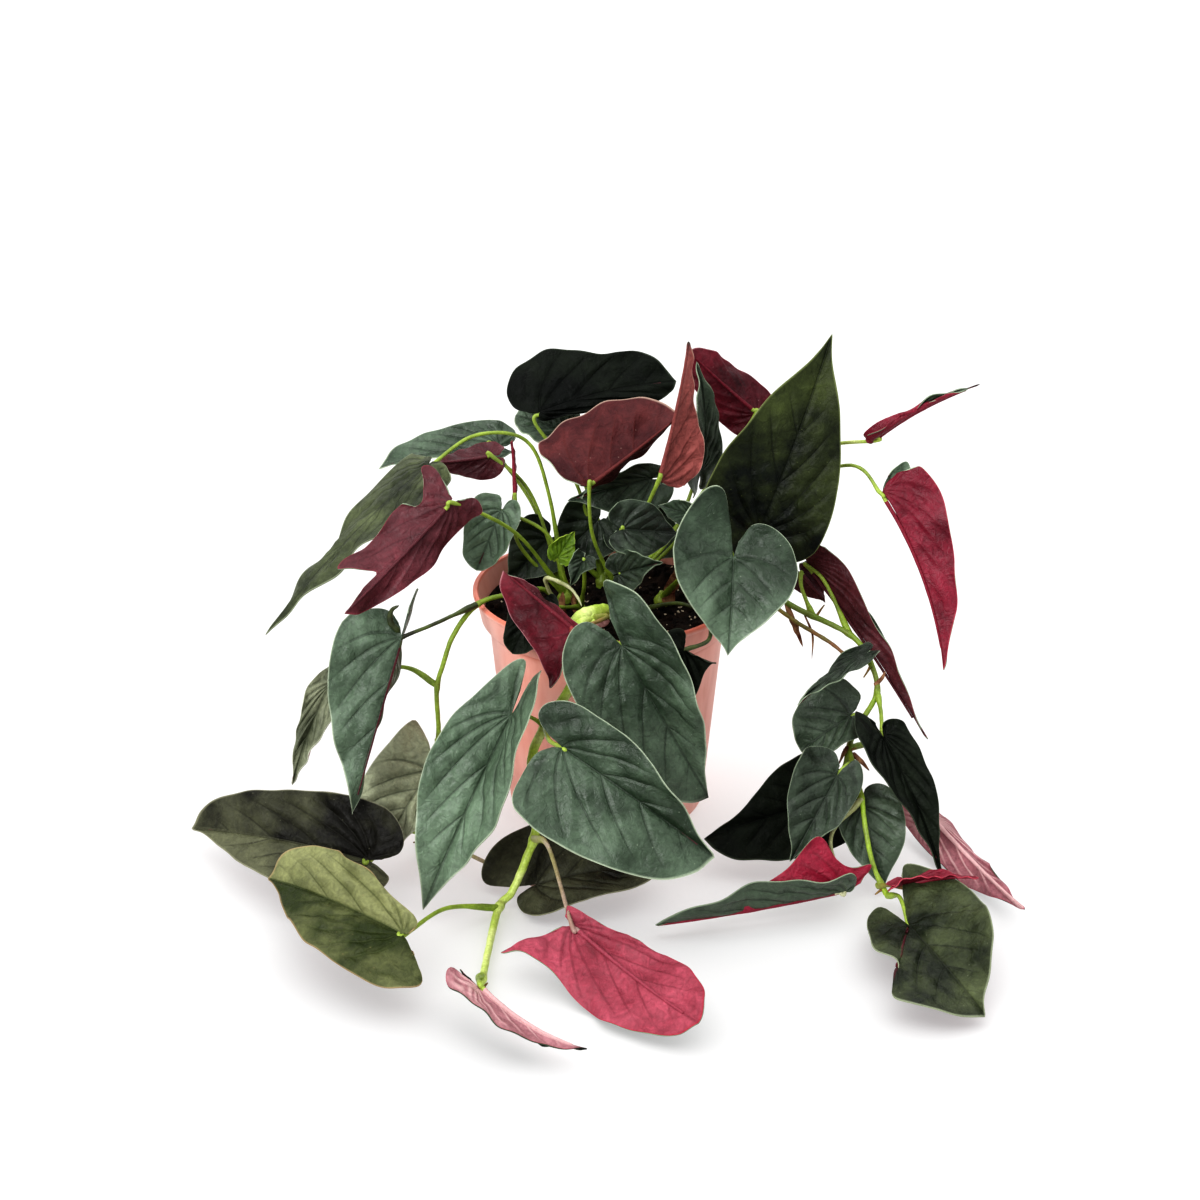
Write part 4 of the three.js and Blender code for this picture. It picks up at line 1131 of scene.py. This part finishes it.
        Leaf("narrow_maroon", [(108, -14, 88), (98, 2, 106)], (91, 10, 112), (142, -36, 46), (8, -1, 5),
             (18, 26), fold=(80, 66), arch=0.02, lobe=(0.24, 0.06), tone=0.6),
        Leaf("maroon_scrap", [(92, -8, 94), (88, 4, 102)], (88, 10, 107), (99, 4, 95), (0, 8, -2), (15, 15)),
        Leaf("grey_small", [(111, -42, 57), (109, -43, 62)], (106, -46, 63), (84, -58, 52), (0, -6, 8),
             (22, 40), shape=(BLUNT, BLUNT), lobe=(0.1, 0.4), tone=0.65),
        Leaf("strip_small", [(116, -25, 80)], (112, -33, 86), (81, -62, 77), (-2, -6, 6), (10, 10), FOREST,
             MAROON, twist=30),
        Leaf("dark_left", [(106, -50, 50), (104, -50, 40)], (96, -50, 24), (42, -74, 18), (0, -8, 6),
             (46, 44), NIGHT, shape=(BLUNT, TAILED)),
        Leaf("dark_inner", [(107, -58, 46), (103, -68, 51)], (98, -74, 49), (77, -98, 21), (0, -8, 5),
             (24, 38), tone=0.35),
        Leaf("dark_right", [(108, -66, 42), (108, -66, 38)], (110, -71, 32), (118, -92, 2), (1, -8, 5),
             (34, 28), tone=0.85),
        Leaf("dark_pointed", [(119, -34, 69), (120, -42, 63)], (120, -54, 57), (144, -84, 6), (4, -8, 3),
             (24, 34), NIGHT, CRIMSON, shape=(HEART, TAILED), fold=(28, 28), lobe=(0.08, 0.22)),
        Leaf("canoe_red", [(109, -75, 38), (95, -88, 27)], (100, -102, 8), (20, -122, 5), (0, -1, -9),
             (50, 34), FOREST, CRIMSON, shape=(PEAKED, BLUNT), fold=(-75, -60), lobe=(0.17, 0.05), arch=0.015,
             tone=1.0, stem=PALE),
        Leaf("red_strip", [(115, -96, 8), (119, -102, 12)], (124, -106, 15), (154, -112, 22), (0, 2, 8),
             (10, 10), CRIMSON, CRIMSON, stem=RED),
        Leaf("pink_right", [(106, -50, 50), (120, -42, 44)], (144, -48, 14), (172, -123, 13), (2, 6, -7),
             (24, 12), NIGHT, BLUSH, fold=(20, 20), tone=0.15),
        Leaf("bright_ground", [(119, -99, 5), (122, -112, 12)], (123, -131, 11), (145, -185, 5), (1, -5, 8),
             (60, 63), FERN, CRIMSON, shape=(EARED, NOTCHED), lobe=(0.55, 0.36), arch=0.03, tone=0.2,
             halves=(0.05, -0.05)),
    ], rootlets=6),
]


@dataclass
class Sprig:
    """A small thing on a stem, such as a bud, a dry sheath, a swollen node or a thin stalk.

    route is its centre line, radii its radii at even distances along it, and flat the share of its width
    that it is thick.
    """

    name: str
    skin: Finish
    route: list[Point]
    radii: list[float]
    flat: float = 1.0

    STEP = 0.6
    SIDES = 16
    DENT = 0.12

    def build(self, node: str, slot: str, seed: int) -> bpy.types.Object:
        """Makes a tube along the route whose radius follows radii, evenly spaced, with rounded ends.

        Args:
            node: The CAD node that it helps to stand for.
            slot: The material slot of its CAD node; not used.
            seed: The seed of its unevenness.

        Returns:
            The object.
        """
        line = smooth_line(self.route, 12)
        line = evenly(line, max(16, int(lengths_along(line)[-1] / self.STEP)))
        share = np.linspace(0, 1, len(line))
        radius = np.interp(share, np.linspace(0, 1, len(self.radii)), self.radii)
        radius = radius * np.sqrt(np.clip(np.minimum(share, 1 - share) * 14, 0.1, 1))
        rings = tube_rings(line, radius, self.SIDES, self.flat, seed)
        rings = rings + (rings - line[:, None]) * self.DENT * ripple(rings, 6.0, seed + 1)[..., None]
        paint = np.append(np.repeat(share, self.SIDES), [0, 1])[:, None] * (1, 0, 0)
        piece = Piece()
        piece.put(shut(rings), ring_faces(len(line), self.SIDES), 0, paint=paint)
        made = piece.build(self.name, [self.skin.build()])
        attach(made, "root")
        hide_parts(node)
        return made


# What stands on each shoot besides its leaves.
SPRIGS = {
    "shoot_front_trailing": [
        # The swollen node where the stem bends over the rim, and the dry sheath beside it.
        Sprig("node_front", StemSkin(BRIGHT),
              [(4, -33, 108), (-3, -43, 112.5), (-10, -51, 113.5), (-15, -57, 111), (-17, -60, 107.5)],
              [1.9, 2.3, 3.0, 2.9, 1.4]),
        Sprig("node_front_heel", StemSkin(BRIGHT), [(-4, -49, 112.5), (-7, -53, 109.5), (-9, -56, 107)],
              [1.9, 2.6, 1.6]),
        Sprig("sheath_front", PINK_HUSK, [(-13, -56, 108.6), (-6, -55, 110.6), (1, -53, 112)],
              [0.4, 2.2, 1.4], 0.35),
    ],
    "shoot_young": [
        # The thin pale stalk and the dry brown leaf in the middle of the pot.
        Sprig("stalk_pale", StemSkin(PALE),
              [(-19, -5, 91), (-25, -11, 106), (-27, -15, 115), (-22, -19, 115.6), (-16, -25, 114.8),
               (-13, -31, 113.5), (-10.8, -37, 111.5)], [0.9, 0.9, 0.9, 1.0, 0.9, 0.7, 0.5]),
        Sprig("leaf_dry", HUSK, [(-21, -20, 92), (-20, -24, 104), (-19, -27, 114)], [1.6, 3.2, 0.4], 0.2),
        Sprig("sheath_middle", HUSK, [(-14, -1, 92), (-15, -4, 102), (-18, -8, 112)], [2.4, 2.0, 0.4], 0.5),
    ],
    "shoot_right_high": [
        Sprig("sheath_right", HUSK, [(27, 8, 92), (30, 6, 104), (33, 2, 116)], [3.2, 2.6, 0.4], 0.5),
    ],
    "shoot_left_trailing": [
        Sprig("lobe_curled", StemSkin(DARK),
              [(-88, -54, 107), (-91.5, -54, 112), (-91, -54, 117), (-87.5, -55, 120)], [1.0, 1.5, 1.1, 0.4]),
    ],
    "shoot_right_trailing": [
        Sprig("bud_right_low", HUSK, [(107, -52, 48), (111, -54, 45), (114.5, -55, 41)], [1.2, 1.0, 0.3]),
        Sprig("bud_right_middle", HUSK, [(105, -51, 51), (103, -53, 48), (101, -55, 44)], [1.0, 0.8, 0.3]),
        Sprig("bud_right_high", HUSK, [(118, -32, 71), (121, -33, 75), (122, -34, 79)], [1.0, 0.9, 0.3]),
        Sprig("sheath_bend", HUSK, [(80, -4, 99), (84, -8, 90), (88, -11, 80)], [1.0, 1.6, 0.3], 0.35),
        Sprig("sheath_bend_low", HUSK, [(88, -7, 95), (92, -11, 86), (92, -14, 75)], [0.9, 1.3, 0.3], 0.35),
        Sprig("stalk_reddish", StemSkin(RED), [(60, 5, 108), (80, -7, 94), (100, -16, 84), (111, -26, 77)],
              [0.8, 0.9, 0.9, 0.8]),
    ],
}


@dataclass
class Pot:
    """The nursery pot: a thin tapering body, a stepped rim band with a rolled lip, and drain holes."""

    rim: float = 60.0
    height: float = 105.0
    band: float = 15.0
    band_step: float = 3.5
    band_ramp: float = 2.0
    shoulder: float = 53.0
    base: float = 45.0
    wall: float = 1.6
    lip: float = 2.6
    floor: float = 2.0
    drain_holes: int = 8
    drain_circle: float = 33.0
    drain: float = 4.5
    drain_sides: int = 32
    sides: int = 160
    sharp: float = 38.0

    def profile(self) -> np.ndarray:
        """The wall's outline as (radius, height), from the base's middle out, up, over the lip and down."""
        rim, top, shoulder, base, wall = self.rim, self.height, self.shoulder, self.base, self.wall
        neck, step, ramp = top - self.band, shoulder + self.band_step, self.band_ramp
        outline = [(0.5, 0), (base - 1.6, 0), (base - 0.5, 0.4), (base, 1.5), (shoulder - 0.1, neck - 0.9),
                   (shoulder + 0.3, neck + 0.2), (step - 0.6, neck + 1.1), (step, neck + ramp),
                   (rim - 1.5, top - 3.0), (rim - 0.5, top - 2.4), (rim, top - 1.6), (rim, top - 0.7),
                   (rim - 0.4, top - 0.15), (rim - 1.1, top), (rim - self.lip + 0.6, top - 0.1),
                   (rim - self.lip, top - 0.9), (shoulder + wall, neck + 2 * ramp),
                   (shoulder - wall, neck - ramp), (base - wall, self.floor), (0.5, self.floor)]
        return np.array(outline, float)

    def build(self) -> bpy.types.Object:
        """Makes the pot: the outline turned about Z, with its drain holes cut through the floor."""
        line = self.profile()
        piece = Piece()
        piece.put(shut(turned(line, self.sides)), ring_faces(len(line), self.sides), 0)
        pot = piece.build("pot_moulded", [PotPlastic().build()], self.sharp)
        cutter = Piece()
        for hole in np.arange(self.drain_holes) * 2 * math.pi / self.drain_holes:
            centre = np.array([self.drain_circle * math.cos(hole), self.drain_circle * math.sin(hole), 0])
            line = centre + np.array([[0, 0, -1], [0, 0, self.floor + 1]])
            rings = tube_rings(line, self.drain, self.drain_sides)
            cutter.put(shut(rings), ring_faces(len(line), self.drain_sides), 0)
        tool = cutter.build("drain_cutter", [])
        cut = pot.modifiers.new("drain", "BOOLEAN")
        cut.object = tool
        cut.solver = "EXACT"
        graph = bpy.context.evaluated_depsgraph_get()
        mesh = bpy.data.meshes.new_from_object(pot.evaluated_get(graph))
        pot.modifiers.clear()
        pot.data = mesh
        bpy.data.objects.remove(tool)
        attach(pot, "root")
        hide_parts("pot")
        return pot


@dataclass
class SoilBed:
    """The peat in the pot: a lumpy top, loose crumbs and light grains on it."""

    top: float = 91.0
    bank_top: float = 96.5
    bank_foot: float = 36.0
    bank_crest: float = 50.0
    radius: float = 54.4
    side: tuple[Pair, ...] = ((0.5, 2.4), (43.0, 2.4), (51.0, 88.0), (54.1, 94.0))
    rings: int = 50
    sides: int = 144
    crumbs: int = 460
    crumb_radii: Pair = (0.5, 2.0)
    grains: int = 240
    grain_radii: Pair = (0.25, 0.7)
    edge_clear: float = 2.5
    dent: float = 0.12
    waves: tuple[tuple[float, float, int], ...] = ((26, 0.65, 9), (8, 0.55, 9), (3.2, 0.3, 14))

    def level(self, reach: Any) -> Any:
        """Height of the top without its lumps: flat in the middle, and up a smooth step to the wall."""
        step = np.clip((reach - self.bank_foot) / (self.bank_crest - self.bank_foot), 0, 1)
        return self.top + (self.bank_top - self.top) * step**2 * (3 - 2 * step)

    def relief(self, places: np.ndarray) -> np.ndarray:
        """Height of the soil's top over its level at each place: the sum of waves of three sizes."""
        flat = places[..., :2]
        return sum(rise * ripple(flat, size, 3 + i, count)
                   for i, (size, rise, count) in enumerate(self.waves))

    def build(self) -> list[bpy.types.Object]:
        """Makes the bed, the crumbs and the grains."""
        inner = np.linspace(self.radius, 0.5, self.rings)
        line = np.vstack([self.side, np.stack([inner, self.level(inner)], axis=1)])
        rings = turned(line, self.sides)
        fade = np.clip((self.radius - inner) / 2, 0, 1)[:, None]
        top = len(self.side)
        rings[top:, :, 2] += self.relief(rings[top:]) * fade - (1 - fade) * 0.8
        piece = Piece()
        piece.put(shut(rings), ring_faces(len(line), self.sides), 0)
        bed = piece.build("soil_bed", [PEAT.build()], 180)
        made = [bed, self.scatter("soil_crumbs", PEAT, self.crumbs, self.crumb_radii, 11),
                self.scatter("soil_grains", GRAIN, self.grains, self.grain_radii, 12)]
        for one in made:
            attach(one, "root")
        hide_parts("soil")
        return made

    def scatter(self, name: str, stuff: Crumb, count: int, sizes: Pair, seed: int) -> bpy.types.Object:
        """Makes small uneven lumps that lie on the soil, each a ball squashed and dented at random.

        Args:
            name: The object's name.
            stuff: What the lumps are made of.
            count: How many there are.
            sizes: Their least and greatest radius in mm.
            seed: The seed of their places, sizes and dents.

        Returns:
            The object.
        """
        draw = np.random.default_rng(seed)
        rows, sides = 7, 9
        lat = np.linspace(-math.pi / 2, math.pi / 2, rows + 2)[1:-1, None]
        lon = np.arange(sides)[None] * 2 * math.pi / sides
        flat, rise = np.cos(lat), np.sin(lat)
        ball = np.stack([flat * np.cos(lon), flat * np.sin(lon), rise + 0 * lon], axis=-1).reshape(-1, 3)
        ball = np.vstack([ball, (0, 0, -1), (0, 0, 1)])
        piece = Piece()
        for _ in range(count):
            reach = (self.radius - self.edge_clear) * math.sqrt(draw.uniform(0, 1))
            turn = draw.uniform(0, 2 * math.pi)
            at = np.array([reach * math.cos(turn), reach * math.sin(turn), self.level(reach)])
            at[2] += float(self.relief(at[None])[0])
            size = draw.uniform(*sizes) * draw.uniform(0.6, 1.3, 3)
            spin = np.linalg.qr(draw.normal(size=(3, 3)))[0]
            spin = spin * np.sign(np.linalg.det(spin))
            dents = 1 + draw.normal(scale=self.dent, size=(len(ball), 1))
            piece.put((ball * dents * size) @ spin.T + at, ring_faces(rows, sides), 0)
        return piece.build(name, [stuff.build()], 60)


class Studio:
    """The floor, the light and the camera."""

    TARGET = (-3.0, 0.0, 98.0)
    DISTANCE = 900.0
    ELEVATION = 24.0
    LENS = 60.0
    SENSOR = 36.0
    FLOOR_REACH = 20000
    FLOOR_LEVEL = -0.05
    SEEN_BACKDROP = 1.1
    SURROUNDINGS = 0.36

    def camera(self) -> None:
        """Makes the camera: it looks along +Y and down at the target."""
        tilt = math.radians(self.ELEVATION)
        data = bpy.data.cameras.new("camera")
        data.lens = self.LENS
        data.sensor_width = self.SENSOR
        data.clip_end = 50
        camera = bpy.data.objects.new("camera", data)
        x, y, z = self.TARGET
        back, above = self.DISTANCE * math.cos(tilt), self.DISTANCE * math.sin(tilt)
        camera.location = Vector((x, y - back, z + above)) * MM
        camera.rotation_euler = (math.pi / 2 - tilt, 0, 0)
        bpy.context.scene.collection.objects.link(camera)
        bpy.context.scene.camera = camera

    def floor(self) -> bpy.types.Object:
        """Makes the plain white floor, just under the pot, and returns it."""
        piece = Piece()
        square = np.array([(-1, -1, 0), (1, -1, 0), (1, 1, 0), (-1, 1, 0)], float)
        piece.put(square * self.FLOOR_REACH + (0, 0, self.FLOOR_LEVEL), np.array([[0, 1, 2, 3]]), 0)
        material = bpy.data.materials.new("white_paper")
        material.use_nodes = True
        shader = material.node_tree.nodes["Principled BSDF"]
        shader.inputs["Base Color"].default_value = linear("#c2c2c2")
        shader.inputs["Emission Color"].default_value = linear("#ffffff")
        shader.inputs["Emission Strength"].default_value = 0.3
        shader.inputs["Roughness"].default_value = 0.9
        floor = piece.build("floor", [material])
        floor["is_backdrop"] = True
        return floor

    def sun(self, name: str, place: Point, strength: float, spread: float,
            passed_by: Optional[bpy.types.Object] = None) -> None:
        """Makes a soft far light.

        Args:
            name: Its name.
            place: A place in the direction that it shines from.
            strength: Its strength in watts a square metre.
            spread: How wide it looks, in degrees.
            passed_by: A piece that it doesn't light.
        """
        data = bpy.data.lights.new(name, "SUN")
        data.angle = math.radians(spread)
        data.energy = strength
        lamp = bpy.data.objects.new(name, data)
        lamp.rotation_euler = (-Vector(place)).to_track_quat("-Z", "Y").to_euler()
        bpy.context.scene.collection.objects.link(lamp)
        if passed_by:
            group = bpy.data.collections.new(f"{name}_passes_by")
            group.objects.link(passed_by)
            group.collection_objects[0].light_linking.link_state = "EXCLUDE"
            lamp.light_linking.receiver_collection = group

    def light(self, floor: bpy.types.Object) -> None:
        """Makes the studio light: a soft key from the upper left front, a fill, a top light, surroundings.

        The surroundings look brighter than they light, so that the backdrop is as white as the floor.

        Args:
            floor: The floor, which only the top light and the surroundings light.
        """
        self.sun("key", (-0.8, -1.0, 0.8), 2.0, 35, floor)
        self.sun("fill", (1.0, -0.6, 0.9), 0.35, 60, floor)
        self.sun("top", (0.0, 0.4, 1.0), 2.0, 110)
        world = bpy.data.worlds.new("surroundings")
        world.use_nodes = True
        back = world.node_tree.nodes["Background"]
        back.inputs["Color"].default_value = linear("#ffffff")
        seen = add(world.node_tree, "LightPath", out="Is Camera Ray")
        strength = add(world.node_tree, "MapRange", (seen, 0.0, 1.0, self.SURROUNDINGS, self.SEEN_BACKDROP))
        world.node_tree.links.new(strength, back.inputs["Strength"])
        bpy.context.scene.world = world
        bpy.context.scene.view_settings.view_transform = "Standard"
        bpy.context.scene.view_settings.look = "High Contrast"


def corners(box: tuple[Vector, Vector]) -> list[list[float]]:
    """A box as two plain lists of numbers."""
    return [list(map(float, corner)) for corner in box]


def main() -> None:
    """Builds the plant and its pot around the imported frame."""
    logging.basicConfig(level=logging.INFO, format="%(message)s")
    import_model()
    cad_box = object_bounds()
    studio = Studio()
    studio.camera()
    studio.light(studio.floor())
    made = [Pot().build(), *SoilBed().build()]
    for i, shoot in enumerate(SHOOTS):
        made += shoot.build(100 * (i + 1))
    slots = {shoot.node: shoot.slot for shoot in SHOOTS}
    sprigs = [(sprig, node) for node, group in SPRIGS.items() for sprig in group]
    for i, (sprig, node) in enumerate(sprigs):
        made.append(sprig.build(node, slots[node], 2000 + i))
    for one in made:
        LOG.info("%s: %d faces", one.name, len(one.data.polygons))
    bpy.context.view_layer.update()
    {"cad": corners(cad_box), "visual": corners(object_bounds())}


if __name__ == "__main__":
    main()
